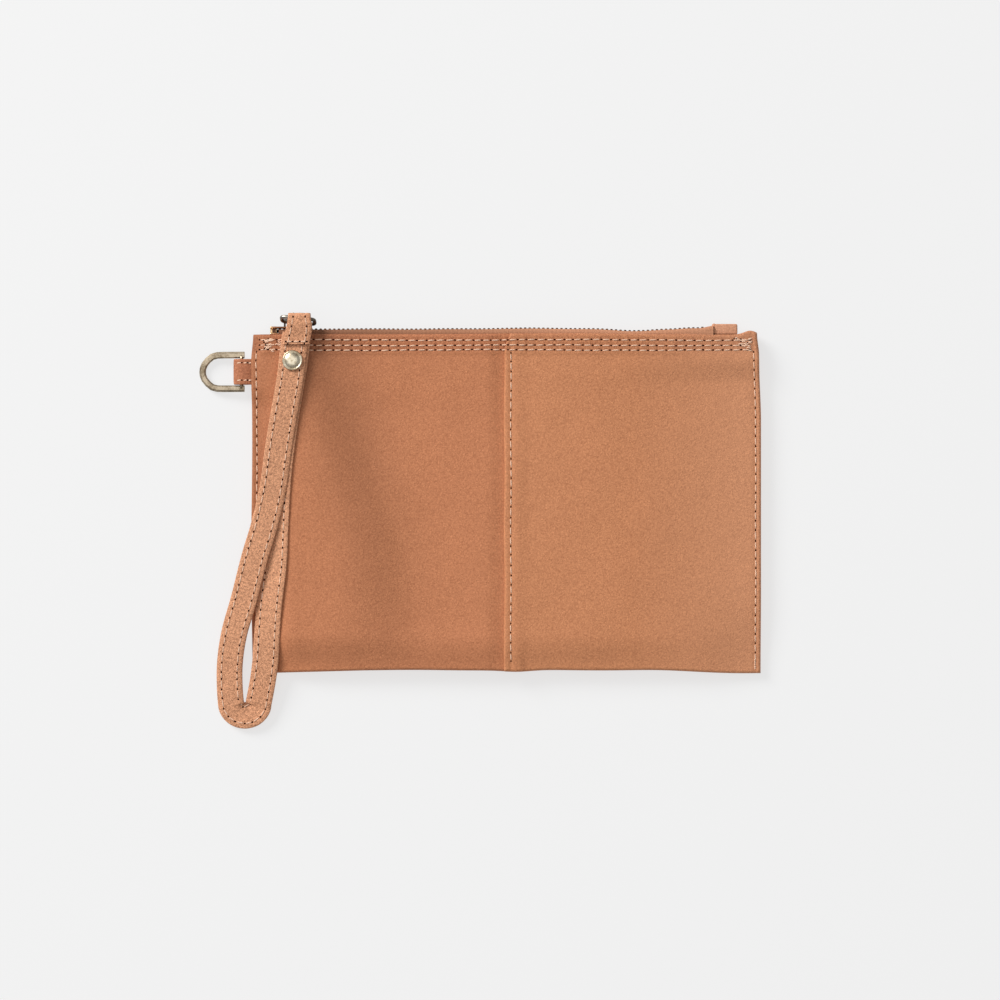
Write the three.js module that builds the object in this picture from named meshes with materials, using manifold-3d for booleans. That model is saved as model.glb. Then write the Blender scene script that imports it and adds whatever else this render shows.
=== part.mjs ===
// Wristlet wallet lying on its back. Millimetres, +X to the wearer's right, +Y towards the zip,
// +Z out of the front. The origin is the middle of the flat back face.
import * as THREE from "three";
import Module from "manifold-3d";

// ---------- driving dimensions ----------
const LEFT_X = -114.0;
const RIGHT_X = 114.4;
const TOP_Y = 75.2;
const BOTTOM_Y = -75.4;
const FULL_T = 12.0;
const MID_Z = 6.0;
const LEATHER = 1.3;
const HEM_T = 2.4;
const HEM_Y = 66.8;
const SEAM_HALF = 1.5;
const TOP_SEAM_HALF = 3.4;
const SIDE_RAMP = 22;
const TOP_SIDE_RAMP = 6.5;
const BOTTOM_RAMP = 18;
const EDGE_R = 1.15;
const CORNER_DROP = 3.4;

const LAP_X = -0.9;
const LAP_UNDER_X = 6.0;
const LAP_RISE = 0.5;
const LAP_SEAM = 0.7;

const LINING_T = 0.35;
const LINING_INSET = 8;

const CHAIN_Y0 = 76.4;
const CHAIN_Y1 = 77.9;
const TOOTH_PITCH = 2.04;
const CHAIN_X0 = -103.1;
const TOOTH_COUNT = 94;
const TOOTH_TIP = 0.6;
const TOOTH_ROOT = 1.55;
const CORD_OUT = 2.1;
const TAPE_T = 0.5;
const TAPE_OFF = 3.25;

const SLIDER_X0 = -105.9;
const SLIDER_X1 = -95.5;
const PLATE_T = 0.8;
const OUTER_PLATE_Y = 78.1;
const INNER_PLATE_Y = 75.3;
const CROWN_X = -97.8;
const CROWN_BAR = { y: 81.9, z: 6.0, r: 0.6 };

const RING = { x: -92.6, y: 81.37, z: 12.37, a: 7.35, b: 3.3, wire: 0.85, power: 4.5, lean: 18.1 };
const STRAP_T = 1.15;
const STRAP_W = 12;
const NOSE = { y: 82.4, z: 15.5, r: 1.15 };
const RIVET = { x: -95.5, y: 63.6, cap: 4.5, post: 1.25 };

const DRING = { x: -118.9, y: 58.7, z: 4.8, half: 8.85, inner: 6.0, tilt: 10.4, thick: 1.9 };
const TAB_HALF = 5.75;

// ---------- materials ----------
const finish = (color, roughness, metalness) => ({ color, roughness, metalness });
const TAN = finish(0xc4865f, 0.62, 0);
const TAN_DARK = finish(0xb97a52, 0.64, 0);
const TAPE = finish(0x8a4a35, 0.85, 0);
const LINING = finish(0x9b8571, 0.9, 0);
const BRASS = finish(0xb39a62, 0.36, 1);
const OLD_BRASS = finish(0x6e5338, 0.45, 1);
const DARK_METAL = finish(0x4a3b32, 0.5, 1);

const group = new THREE.Group();

function add(name, geometry, look) {
  const mesh = new THREE.Mesh(geometry, new THREE.MeshStandardMaterial(look));
  mesh.name = name;
  group.add(mesh);
}

// ---------- small maths ----------
const smooth = (t) => {
  const c = Math.min(1, Math.max(0, t));
  return c * c * (3 - 2 * c);
};
const mix = (a, b, t) => a + (b - a) * t;
const roundOff = (e, r) => (e >= r ? 0 : r - Math.sqrt(r * r - (r - e) * (r - e)));

// ---------- closed bodies from rings of points ----------
function orient(positions, index) {
  let volume = 0;
  const a = new THREE.Vector3();
  const b = new THREE.Vector3();
  const c = new THREE.Vector3();
  for (let i = 0; i < index.length; i += 3) {
    a.fromArray(positions, index[i] * 3);
    b.fromArray(positions, index[i + 1] * 3);
    c.fromArray(positions, index[i + 2] * 3);
    volume += a.dot(b.cross(c));
  }
  if (volume < 0) {
    for (let i = 0; i < index.length; i += 3) {
      [index[i + 1], index[i + 2]] = [index[i + 2], index[i + 1]];
    }
  }
}

// Each ring is a closed loop of an even number of points; its ends are capped by pairing point j
// with its opposite, which suits flat ribbons and round wires alike.
function loft(rings, closed = false) {
  const n = rings[0].length;
  const positions = [];
  const index = [];
  rings.forEach((ring) => ring.forEach((p) => positions.push(p.x, p.y, p.z)));
  const spans = closed ? rings.length : rings.length - 1;
  for (let i = 0; i < spans; i += 1) {
    const r0 = i * n;
    const r1 = ((i + 1) % rings.length) * n;
    for (let j = 0; j < n; j += 1) {
      const k = (j + 1) % n;
      index.push(r0 + j, r1 + j, r1 + k, r0 + j, r1 + k, r0 + k);
    }
  }
  if (!closed) {
    const last = (rings.length - 1) * n;
    for (let j = 0; j < n / 2 - 1; j += 1) {
      const o = n - 1 - j;
      index.push(j, j + 1, o - 1, j, o - 1, o);
      index.push(last + j, last + o - 1, last + j + 1, last + j, last + o, last + o - 1);
    }
  }
  orient(positions, index);
  const geometry = new THREE.BufferGeometry();
  geometry.setAttribute("position", new THREE.Float32BufferAttribute(positions, 3));
  geometry.setIndex(index);
  geometry.computeVertexNormals();
  return geometry;
}

// A round wire of radius r along planar points; normal is the plane's normal.
function wire(points, normal, r, sides, closed) {
  const n = points.length;
  const rings = points.map((p, i) => {
    const before = closed ? points[(i + n - 1) % n] : points[Math.max(0, i - 1)];
    const after = closed ? points[(i + 1) % n] : points[Math.min(n - 1, i + 1)];
    const tangent = new THREE.Vector3().subVectors(after, before).normalize();
    const side = new THREE.Vector3().crossVectors(tangent, normal);
    const ring = [];
    for (let j = 0; j < sides; j += 1) {
      const a = (j / sides) * 2 * Math.PI;
      ring.push(p.clone().addScaledVector(normal, r * Math.cos(a)).addScaledVector(side, r * Math.sin(a)));
    }
    return ring;
  });
  return loft(rings, closed);
}

// ---------- boolean joins ----------
const wasm = await Module();
wasm.setup();

function toManifold(geometry) {
  const source = geometry.index ? geometry.toNonIndexed() : geometry;
  const p = source.attributes.position;
  const seen = new Map();
  const verts = [];
  const tris = [];
  for (let i = 0; i < p.count; i += 1) {
    const v = [p.getX(i), p.getY(i), p.getZ(i)];
    const key = v.map((c) => Math.round(c * 1e4)).join(",");
    if (!seen.has(key)) {
      seen.set(key, verts.length / 3);
      verts.push(...v);
    }
    tris.push(seen.get(key));
  }
  const clean = [];
  for (let i = 0; i < tris.length; i += 3) {
    const [a, b, c] = tris.slice(i, i + 3);
    if (a !== b && b !== c && a !== c) {
      clean.push(a, b, c);
    }
  }
  return new wasm.Manifold(new wasm.Mesh({
    numProp: 3,
    vertProperties: new Float32Array(verts),
    triVerts: new Uint32Array(clean),
  }));
}

function fromManifold(solid) {
  const mesh = solid.getMesh();
  const geometry = new THREE.BufferGeometry();
  geometry.setAttribute("position", new THREE.Float32BufferAttribute(mesh.vertProperties, 3));
  geometry.setIndex(Array.from(mesh.triVerts));
  geometry.computeVertexNormals();
  return geometry;
}

const join = (...parts) => fromManifold(parts.map(toManifold).reduce((a, b) => a.add(b)));
const cut = (body, tool) => fromManifold(toManifold(body).subtract(toManifold(tool)));

function box(x0, x1, y0, y1, z0, z1) {
  const geometry = new THREE.BoxGeometry(x1 - x0, y1 - y0, z1 - z0);
  return geometry.translate((x0 + x1) / 2, (y0 + y1) / 2, (z0 + z1) / 2);
}

// ---------- the pouch's outer surfaces ----------
const leftEdge = (y) => LEFT_X + 0.9 * smooth((y - 62) / 13);
const rightEdge = (y) => RIGHT_X - 2.2 * smooth((y - 40) / 35);
const bottomEdge = (x) => BOTTOM_Y - 1.4 * smooth((Math.abs(x) - 84) / 30);

function fullness(x, y) {
  const ramp = mix(SIDE_RAMP, TOP_SIDE_RAMP, smooth((y - 40) / 26));
  const left = smooth((x - leftEdge(y)) / ramp);
  const right = smooth((rightEdge(y) - x) / ramp);
  return left * right * smooth((y - bottomEdge(x)) / BOTTOM_RAMP);
}

const lapZone = (x) => smooth((x + 12) / 7) * smooth((18 - x) / 7);
// The seam thickens towards the hems; on the left it starts lower, to take the D-ring's tab.
const seamRise = (x, y) => (x < 0 ? smooth((y - 42) / 9.5) : smooth((y - 53) / 12));
const seamHalf = (x, y) => mix(SEAM_HALF, TOP_SEAM_HALF, seamRise(x, y)) + LAP_SEAM * lapZone(x);
const cornerness = (x, y) => smooth((Math.abs(x) - 85) / 29) * smooth((-45 - y) / 30);
const seamZ = (x, y) => MID_Z - CORNER_DROP * cornerness(x, y);

function frontZ(x, y) {
  const rim = seamZ(x, y) + seamHalf(x, y);
  return mix(rim, FULL_T, fullness(x, y));
}

function backZ(x, y) {
  const rim = seamZ(x, y) - seamHalf(x, y);
  return mix(rim, 0, fullness(x, y));
}

// How far a point sits inside the nearest turned edge.
function edgeInset(x, y) {
  return Math.min(x - leftEdge(y), rightEdge(y) - x, y - bottomEdge(x));
}

const EDGE_STEPS = [0, 0.35, 1.15, 3, 6, 10, 14, 18, 22];
const leftColumns = EDGE_STEPS.map((d) => (y) => leftEdge(y) + d);
const rightColumns = EDGE_STEPS.map((d) => (y) => rightEdge(y) - d).reverse();
const at = (x) => () => x;

const BOTTOM_STEPS = [0, 0.35, 1.15, 3, 6, 9, 12, 15, 18];
const HIGH_ROWS = [40, 45, 49, 53, 57, 62, 66.3, HEM_Y, 70, 74.05, 74.7, 75.05, TOP_Y];
const panelRows = [...BOTTOM_STEPS.map((e) => (x) => bottomEdge(x) + e), at(-40), ...HIGH_ROWS.map(at)];

// A sheet over the rows and columns; outer and inner give its two faces.
function sheet(columns, rows, outer, inner) {
  const rings = columns.map((column) => {
    const top = [];
    const bottom = [];
    rows.forEach((row) => {
      let x = column(0);
      let y = row(x);
      x = column(y);
      y = row(x);
      top.push(new THREE.Vector3(x, y, outer(x, y)));
      bottom.push(new THREE.Vector3(x, y, inner(x, y)));
    });
    return [...top, ...bottom.reverse()];
  });
  return loft(rings);
}

const hemRound = (y) => roundOff(TOP_Y - y, HEM_T / 2);
const hemDepth = (y, hem) => mix(LEATHER, hem, smooth((y - 66.3) / (HEM_Y - 66.3)));

// Left front panel: its right-hand margin dips under the lap.
const lapDip = (x) => 1.0 * smooth((x + 9) / 7.5);
add("front_left_panel", sheet(
  [...leftColumns, at(-40), at(-9), at(-7), at(-5), at(-3), at(-1.5), at(LAP_UNDER_X)],
  panelRows,
  (x, y) => frontZ(x, y) - lapDip(x) - roundOff(edgeInset(x, y), EDGE_R) - hemRound(y) * mix(1, 0.5, lapDip(x)),
  (x, y) => {
    const depth = mix(hemDepth(y, HEM_T), LEATHER, lapDip(x));
    return frontZ(x, y) - lapDip(x) - depth + hemRound(y) * mix(1, 0.5, lapDip(x));
  },
), TAN_DARK);

// Right front panel: its left edge is folded and laps over the left panel.
const lapRise = (x) => LAP_RISE * (1 - smooth((x - 4.5) / 6));
add("front_right_panel", sheet(
  [at(LAP_X), at(-0.6), at(0.2), at(4.5), at(6.3), at(7.4), at(10.5), at(40), ...rightColumns],
  panelRows,
  (x, y) => {
    const edge = roundOff(x - LAP_X, 0.9) * 0.75;
    const soft = mix(0.5, 1, smooth((x - 6.3) / 1.1));
    return frontZ(x, y) + lapRise(x) - edge - roundOff(edgeInset(x, y), EDGE_R) - hemRound(y) * soft;
  },
  (x, y) => {
    const step = smooth((x - 6.3) / 1.1);
    const depth = mix(0.85, hemDepth(y, HEM_T), step);
    return frontZ(x, y) - depth + hemRound(y) * mix(0.5, 1, step);
  },
), TAN);

add("back_panel", sheet(
  [...leftColumns, at(-40), at(0), at(40), ...rightColumns],
  panelRows,
  (x, y) => backZ(x, y) + hemDepth(y, HEM_T) - hemRound(y),
  (x, y) => backZ(x, y) + roundOff(edgeInset(x, y), EDGE_R) + hemRound(y),
), TAN);

// ---------- lining and card pocket ----------
const liningColumns = [
  ...[0, 3, 7, 11, 15].map((d) => (y) => leftEdge(y) + LINING_INSET + d),
  at(-40), at(-14), at(-9), at(-4), at(9), at(15), at(21), at(40),
  ...[15, 11, 7, 3, 0].map((d) => (y) => rightEdge(y) - LINING_INSET - d),
];
const liningRows = [
  ...[0, 3, 6, 11].map((e) => (x) => bottomEdge(x) + LINING_INSET + e),
  at(-40), at(40), at(45), at(49), at(53), at(57), at(59), at(62), at(66), at(73),
];
const liningDip = (y) => 1.55 * smooth((y - 57) / 5);
const lapClear = (x) => 1.0 * smooth((x + 14) / 7) * smooth((19 - x) / 7);
const frontLiningZ = (x, y) => frontZ(x, y) - 1.65 - liningDip(y) - lapClear(x) * (1 - smooth((y - 57) / 5));
const backLiningZ = (x, y) => backZ(x, y) + 1.6 + liningDip(y);
add("front_lining", sheet(liningColumns, liningRows, frontLiningZ, (x, y) => frontLiningZ(x, y) - LINING_T), LINING);
add("back_lining", sheet(liningColumns, liningRows, (x, y) => backLiningZ(x, y) + LINING_T, backLiningZ), LINING);

// A slip pocket for cards on the back lining: a sheet with a rim on three sides, open at the top.
const POCKET = { x0: -52, x1: 52, y0: -52, y1: 8, rim: 4, z0: 2.05, z1: 3.0, z2: 3.8 };
add("card_pocket", join(
  box(POCKET.x0, POCKET.x1, POCKET.y0, POCKET.y1, POCKET.z1, POCKET.z2),
  box(POCKET.x0, POCKET.x0 + POCKET.rim, POCKET.y0, POCKET.y1, POCKET.z0, POCKET.z1 + 0.1),
  box(POCKET.x1 - POCKET.rim, POCKET.x1, POCKET.y0, POCKET.y1, POCKET.z0, POCKET.z1 + 0.1),
  box(POCKET.x0, POCKET.x1, POCKET.y0, POCKET.y0 + POCKET.rim, POCKET.z0, POCKET.z1 + 0.1),
), LINING);

// ---------- zip ----------
// The tape runs up inside the hem and turns in towards the chain; side is +1 in front, -1 behind.
function tape(side) {
  const path = [[64, TAPE_OFF], [75.9, TAPE_OFF], [76.55, 3.12], [77.05, 2.75], [77.2, 2.45], [77.2, 2.2]];
  const ring = [];
  const under = [];
  path.forEach(([y, off], i) => {
    const before = path[Math.max(0, i - 1)];
    const after = path[Math.min(path.length - 1, i + 1)];
    const dir = new THREE.Vector2(after[0] - before[0], after[1] - before[1]).normalize();
    const reach = TAPE_T / 2;
    ring.push([y - dir.y * reach, off + dir.x * reach]);
    under.push([y + dir.y * reach, off - dir.x * reach]);
  });
  const loop = [...ring, ...under.reverse()];
  const section = (x) => loop.map(([y, off]) => new THREE.Vector3(x, y, MID_Z + side * off));
  return loft([section(-105.7), section(0), section(102.3)]);
}
add("zip_tape_front", tape(1), TAPE);
add("zip_tape_back", tape(-1), TAPE);

// A comb of metal teeth on a common cord, drawn in X and distance from the chain's centre plane.
function teeth(side, shift) {
  const shape = new THREE.Shape();
  const end = CHAIN_X0 + TOOTH_COUNT * TOOTH_PITCH;
  shape.moveTo(CHAIN_X0, CORD_OUT);
  shape.lineTo(CHAIN_X0, TOOTH_ROOT);
  for (let i = 0; i < TOOTH_COUNT; i += 1) {
    const x = CHAIN_X0 + (i + 0.5) * TOOTH_PITCH + shift;
    shape.lineTo(x - 0.5, TOOTH_ROOT);
    shape.lineTo(x - 0.4, TOOTH_TIP);
    shape.lineTo(x + 0.4, TOOTH_TIP);
    shape.lineTo(x + 0.5, TOOTH_ROOT);
  }
  shape.lineTo(end, TOOTH_ROOT);
  shape.lineTo(end, CORD_OUT);
  shape.closePath();
  const geometry = new THREE.ExtrudeGeometry(shape, { depth: CHAIN_Y1 - CHAIN_Y0, bevelEnabled: false });
  geometry.rotateX(Math.PI / 2);
  geometry.scale(1, 1, side);
  geometry.translate(0, CHAIN_Y1, MID_Z);
  const positions = Array.from(geometry.attributes.position.array);
  const index = positions.filter((_, i) => i % 3 === 0).map((_, i) => i);
  orient(positions, index);
  geometry.setIndex(index);
  return geometry;
}
add("zip_teeth_front", teeth(1, 0.4), DARK_METAL);
add("zip_teeth_back", teeth(-1, -0.4), DARK_METAL);

const STOP_X0 = -104.9;
add("top_stop_front", box(STOP_X0, STOP_X0 + 1.5, 76.35, 77.95, MID_Z + 0.7, MID_Z + 2.1), BRASS);
add("top_stop_back", box(STOP_X0, STOP_X0 + 1.5, 76.35, 77.95, MID_Z - 2.1, MID_Z - 0.7), BRASS);
add("bottom_stop", box(89.8, 91.6, 76.3, 78.0, MID_Z - 2.1, MID_Z + 2.1), BRASS);

// Leather end tab folded over the tapes, its fold at the right-hand end.
function endTab() {
  const shape = new THREE.Shape();
  shape.moveTo(92.6, 77.75);
  shape.lineTo(92.6, 79.3);
  shape.quadraticCurveTo(93.4, 80.0, 95.0, 80.1);
  shape.lineTo(101.9, 80.1);
  shape.quadraticCurveTo(103.9, 79.8, 103.9, 77.6);
  shape.quadraticCurveTo(103.9, 75.4, 101.9, 75.35);
  shape.lineTo(92.6, 75.35);
  shape.lineTo(92.6, 76.7);
  shape.lineTo(102.6, 76.7);
  shape.lineTo(102.6, 77.75);
  shape.closePath();
  const depth = 4.4;
  const geometry = new THREE.ExtrudeGeometry(shape, { depth, bevelEnabled: false, curveSegments: 5 });
  return geometry.translate(0, 0, MID_Z - depth / 2);
}
add("zip_end_tab", endTab(), TAN_DARK);

// ---------- slider ----------
// A plate outline in X and Z: broad at the wedge end, narrower at the tail.
function plate(y, nose, tail) {
  const shape = new THREE.Shape();
  const mid = SLIDER_X0 + 5.2;
  shape.moveTo(SLIDER_X0 + 1.2, -nose);
  shape.quadraticCurveTo(SLIDER_X0, -nose, SLIDER_X0, -nose + 1.4);
  shape.lineTo(SLIDER_X0, nose - 1.4);
  shape.quadraticCurveTo(SLIDER_X0, nose, SLIDER_X0 + 1.2, nose);
  shape.quadraticCurveTo(mid, nose, mid + 1, tail);
  shape.lineTo(SLIDER_X1 - 0.6, tail);
  shape.quadraticCurveTo(SLIDER_X1, tail, SLIDER_X1, tail - 0.7);
  shape.lineTo(SLIDER_X1, -tail + 0.7);
  shape.quadraticCurveTo(SLIDER_X1, -tail, SLIDER_X1 - 0.6, -tail);
  shape.lineTo(mid + 1, -tail);
  shape.quadraticCurveTo(mid, -nose, SLIDER_X0 + 1.2, -nose);
  const geometry = new THREE.ExtrudeGeometry(shape, { depth: PLATE_T, bevelEnabled: false, curveSegments: 5 });
  geometry.rotateX(Math.PI / 2);
  return geometry.translate(0, y + PLATE_T, MID_Z);
}
const lip = (side) => box(-104.2, -95.8, 77.7, OUTER_PLATE_Y + 0.1, MID_Z + side * 2.5 - 0.25, MID_Z + side * 2.5 + 0.25);
add("slider_body", join(
  plate(OUTER_PLATE_Y, 3.2, 2.75),
  plate(INNER_PLATE_Y, 2.7, 2.7),
  box(-105.5, -102.9, INNER_PLATE_Y + 0.4, OUTER_PLATE_Y + 0.4, MID_Z - 0.45, MID_Z + 0.45),
  lip(1),
  lip(-1),
), OLD_BRASS);

// The crown is a raised bar on two feet; the pull link goes under the bar.
function crownBar() {
  const bar = new THREE.CylinderGeometry(CROWN_BAR.r, CROWN_BAR.r, 4.0, 12);
  bar.rotateZ(Math.PI / 2);
  return bar.translate(CROWN_X, CROWN_BAR.y, CROWN_BAR.z);
}
const foot = (x0) => box(x0, x0 + 0.8, OUTER_PLATE_Y + PLATE_T + 0.05, CROWN_BAR.y + 0.3, 5.2, 6.8);
add("slider_crown", join(crownBar(), foot(CROWN_X - 2.0), foot(CROWN_X + 1.2)), OLD_BRASS);

// ---------- pull ring and the link that carries it ----------
const lean = THREE.MathUtils.degToRad(RING.lean);
const ringUp = new THREE.Vector3(0, Math.sin(lean), Math.cos(lean));
const ringNormal = new THREE.Vector3(0, Math.cos(lean), -Math.sin(lean));

function ringPoint(angle) {
  const c = Math.cos(angle);
  const s = Math.sin(angle);
  const e = 2 / RING.power;
  const u = RING.a * Math.sign(c) * Math.abs(c) ** e;
  const v = RING.b * Math.sign(s) * Math.abs(s) ** e;
  return new THREE.Vector3(RING.x + u, RING.y, RING.z).addScaledVector(ringUp, v);
}

// Points spread evenly along a closed curve.
function spread(curve, count) {
  const fine = Array.from({ length: 2400 }, (_, i) => curve((i / 2400) * 2 * Math.PI));
  const along = [0];
  for (let i = 1; i <= fine.length; i += 1) {
    along.push(along[i - 1] + fine[i % fine.length].distanceTo(fine[i - 1]));
  }
  const total = along[fine.length];
  const points = [];
  let j = 0;
  for (let k = 0; k < count; k += 1) {
    const goal = (k / count) * total;
    while (along[j + 1] < goal) {
      j += 1;
    }
    points.push(fine[j]);
  }
  return points;
}
add("pull_ring", wire(spread(ringPoint, 44), ringNormal, RING.wire, 10, true), BRASS);

function pullLink() {
  const wireR = 0.4;
  const reach = 1.3;
  const low = new THREE.Vector3(CROWN_X, CROWN_BAR.y, CROWN_BAR.z);
  const u = CROWN_X - RING.x;
  const drop = RING.b * (1 - Math.abs(u / RING.a) ** RING.power) ** (1 / RING.power);
  const high = new THREE.Vector3(CROWN_X, RING.y, RING.z).addScaledVector(ringUp, -drop);
  const dir = new THREE.Vector3().subVectors(high, low).normalize();
  const across = new THREE.Vector3(0, dir.z, -dir.y);
  const points = [];
  for (let i = 0; i <= 8; i += 1) {
    const a = (i / 8) * Math.PI;
    points.push(high.clone().addScaledVector(across, reach * Math.cos(a)).addScaledVector(dir, reach * Math.sin(a)));
  }
  for (let i = 0; i <= 8; i += 1) {
    const a = (i / 8) * Math.PI;
    points.push(low.clone().addScaledVector(across, -reach * Math.cos(a)).addScaledVector(dir, -reach * Math.sin(a)));
  }
  return wire(points, new THREE.Vector3(1, 0, 0), wireR, 8, true);
}
add("pull_link", pullLink(), OLD_BRASS);

// ---------- wrist strap ----------
// One strip: x, y and z of its middle, its roll about its own length in degrees, and its width.
// It starts under the fold, runs down the outer leg, turns on edge at the bottom, climbs the inner
// leg and goes round the ring's top wire.
const strapPath = [
  [-94.2, 75.8, 14.7, 0, 11.4],
  [-94.7, 71, 14.65, 0, 11.8],
  [-95.5, 63.6, 14.65, 0, STRAP_W],
  [-96.3, 56, 14.45, 0, STRAP_W],
  [-99, 40.1, 13.6, 6, STRAP_W],
  [-101.7, 23.5, 13.0, 13, STRAP_W],
  [-104.1, 6, 12.4, 17, STRAP_W],
  [-108.3, -11.4, 11.3, 19, STRAP_W],
  [-112.2, -24, 9.95, 21, STRAP_W],
  [-117.0, -43.7, 7.5, 24, STRAP_W],
  [-121.6, -59.4, 4.7, 22, STRAP_W],
  [-123.9, -75.6, 2.4, 12, STRAP_W],
  [-124.3, -86, 2.6, 16, STRAP_W],
  [-122.9, -93, 4.0, 34, STRAP_W],
  [-118.6, -97.2, 5.4, 50, STRAP_W],
  [-113.6, -93.2, 4.0, 34, STRAP_W],
  [-110.2, -86, 2.9, 14, STRAP_W],
  [-108.7, -78.5, 5.2, -4, STRAP_W],
  [-107.9, -70, 7.2, -9, STRAP_W],
  [-107.2, -60, 9.1, -16, STRAP_W],
  [-106.1, -46, 10.1, -17, STRAP_W],
  [-103.9, -28, 10.8, -15, STRAP_W],
  [-103.0, -8, 10.9, -13, STRAP_W],
  [-101.7, 14, 11.2, -12, STRAP_W],
  [-98.9, 36, 11.95, -9, STRAP_W],
  [-95.8, 56, 13.1, -1, STRAP_W],
  [-94.6, 63.6, 13.3, 0, STRAP_W],
  [-93.6, 71, 13.3, 0, 11.8],
  [-92.6, 76.5, 13.1, 0, 11.0],
  [-92.3, 80.0, 13.35, 0, 10.2],
];
const foldPath = [
  [-92.3, 80.0, 17.25, 0, 10.2],
  [-92.7, 76.5, 16.6, 0, 11.6],
  [-93.3, 73.4, 16.05, 0, 12],
  [-93.8, 70.6, 15.95, 0, 12],
];

function strapStations() {
  const lower = new THREE.CatmullRomCurve3(strapPath.map(([x, y, z]) => new THREE.Vector3(x, y, z)), false, "centripetal");
  const upper = new THREE.CatmullRomCurve3(foldPath.map(([x, y, z]) => new THREE.Vector3(x, y, z)), false, "centripetal");
  const stations = [];
  const sample = (curve, table, steps) => {
    for (let i = 0; i <= steps; i += 1) {
      const t = i / steps;
      const k = Math.min(table.length - 2, Math.floor(t * (table.length - 1)));
      const f = t * (table.length - 1) - k;
      const p = curve.getPoint(t);
      stations.push({ p, roll: mix(table[k][3], table[k + 1][3], f), w: mix(table[k][4], table[k + 1][4], f) });
    }
  };
  sample(lower, strapPath, 2 * (strapPath.length - 1));
  const turn = NOSE.r + STRAP_T / 2;
  for (let i = 0; i <= 8; i += 1) {
    const a = -Math.PI / 2 + (i / 8) * Math.PI;
    const p = new THREE.Vector3(-92.3, NOSE.y + turn * Math.cos(a), NOSE.z + turn * Math.sin(a));
    stations.push({ p, roll: 0, w: 10 });
  }
  sample(upper, foldPath, 2 * (foldPath.length - 1));
  return stations;
}

function strap() {
  const stations = strapStations();
  const rings = stations.map((s, i) => {
    const before = stations[Math.max(0, i - 1)].p;
    const after = stations[Math.min(stations.length - 1, i + 1)].p;
    const tangent = new THREE.Vector3().subVectors(after, before).normalize();
    const level = new THREE.Vector3(tangent.y, -tangent.x, 0);
    if (i > stations.length - 18) {
      level.set(-1, 0, 0);
    }
    level.normalize();
    const roll = THREE.MathUtils.degToRad(s.roll);
    const up = new THREE.Vector3(0, 0, 1);
    const width = level.multiplyScalar(-Math.cos(roll)).addScaledVector(up, Math.sin(roll));
    width.addScaledVector(tangent, -width.dot(tangent)).normalize();
    const normal = new THREE.Vector3().crossVectors(tangent, width);
    const corner = (a, b) => s.p.clone().addScaledVector(width, (a * s.w) / 2).addScaledVector(normal, (b * STRAP_T) / 2);
    return [corner(-1, 1), corner(1, 1), corner(1, -1), corner(-1, -1)];
  });
  const hole = new THREE.CylinderGeometry(RIVET.post + 0.15, RIVET.post + 0.15, 12, 16);
  hole.rotateX(Math.PI / 2);
  hole.translate(RIVET.x, RIVET.y, 14);
  return cut(loft(rings), hole);
}
add("wrist_strap", strap(), TAN);

// ---------- rivet ----------
function turned(profile, segments) {
  const points = profile.map(([r, z]) => new THREE.Vector2(r, z));
  const geometry = new THREE.LatheGeometry(points, segments);
  geometry.rotateX(Math.PI / 2);
  return geometry.translate(RIVET.x, RIVET.y, 0);
}
add("rivet_cap", turned([
  [0, 15.32], [3.9, 15.32], [4.45, 15.5], [RIVET.cap, 15.95], [4.2, 16.35], [3.3, 16.85], [1.9, 17.2], [0, 17.3],
], 32), BRASS);
add("rivet_post", turned([
  [0, 12.1], [2.9, 12.1], [3.1, 12.3], [2.9, 12.6], [RIVET.post, 12.6], [RIVET.post, 15.25], [0, 15.25],
], 24), BRASS);

// ---------- D-ring and its tab ----------
function dRing() {
  const outer = new THREE.Shape();
  const back = 1.3;
  const run = 10.85;
  const chamfer = 0.5;
  outer.moveTo(back, -DRING.half + chamfer);
  outer.lineTo(back, DRING.half - chamfer);
  outer.lineTo(back - chamfer, DRING.half);
  outer.lineTo(-run, DRING.half);
  outer.absarc(-run, 0, DRING.half, Math.PI / 2, (3 * Math.PI) / 2, false);
  outer.lineTo(back - chamfer, -DRING.half);
  const hole = new THREE.Path();
  hole.moveTo(-1.1, -DRING.inner);
  hole.lineTo(-run, -DRING.inner - 0.1);
  hole.absellipse(-run, 0, 6.95, DRING.inner + 0.1, (3 * Math.PI) / 2, Math.PI / 2, true);
  hole.lineTo(-1.1, DRING.inner);
  outer.holes.push(hole);
  const bevel = 0.3;
  const geometry = new THREE.ExtrudeGeometry(outer, {
    depth: DRING.thick - 2 * bevel,
    bevelEnabled: true,
    bevelSize: bevel,
    bevelOffset: -bevel,
    bevelThickness: bevel,
    bevelSegments: 1,
    curveSegments: 14,
  });
  geometry.translate(0, 0, bevel - DRING.thick / 2);
  geometry.rotateY(THREE.MathUtils.degToRad(-DRING.tilt));
  return geometry.translate(DRING.x, DRING.y, DRING.z);
}
add("d_ring", fromManifold(toManifold(dRing())), BRASS);

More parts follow.
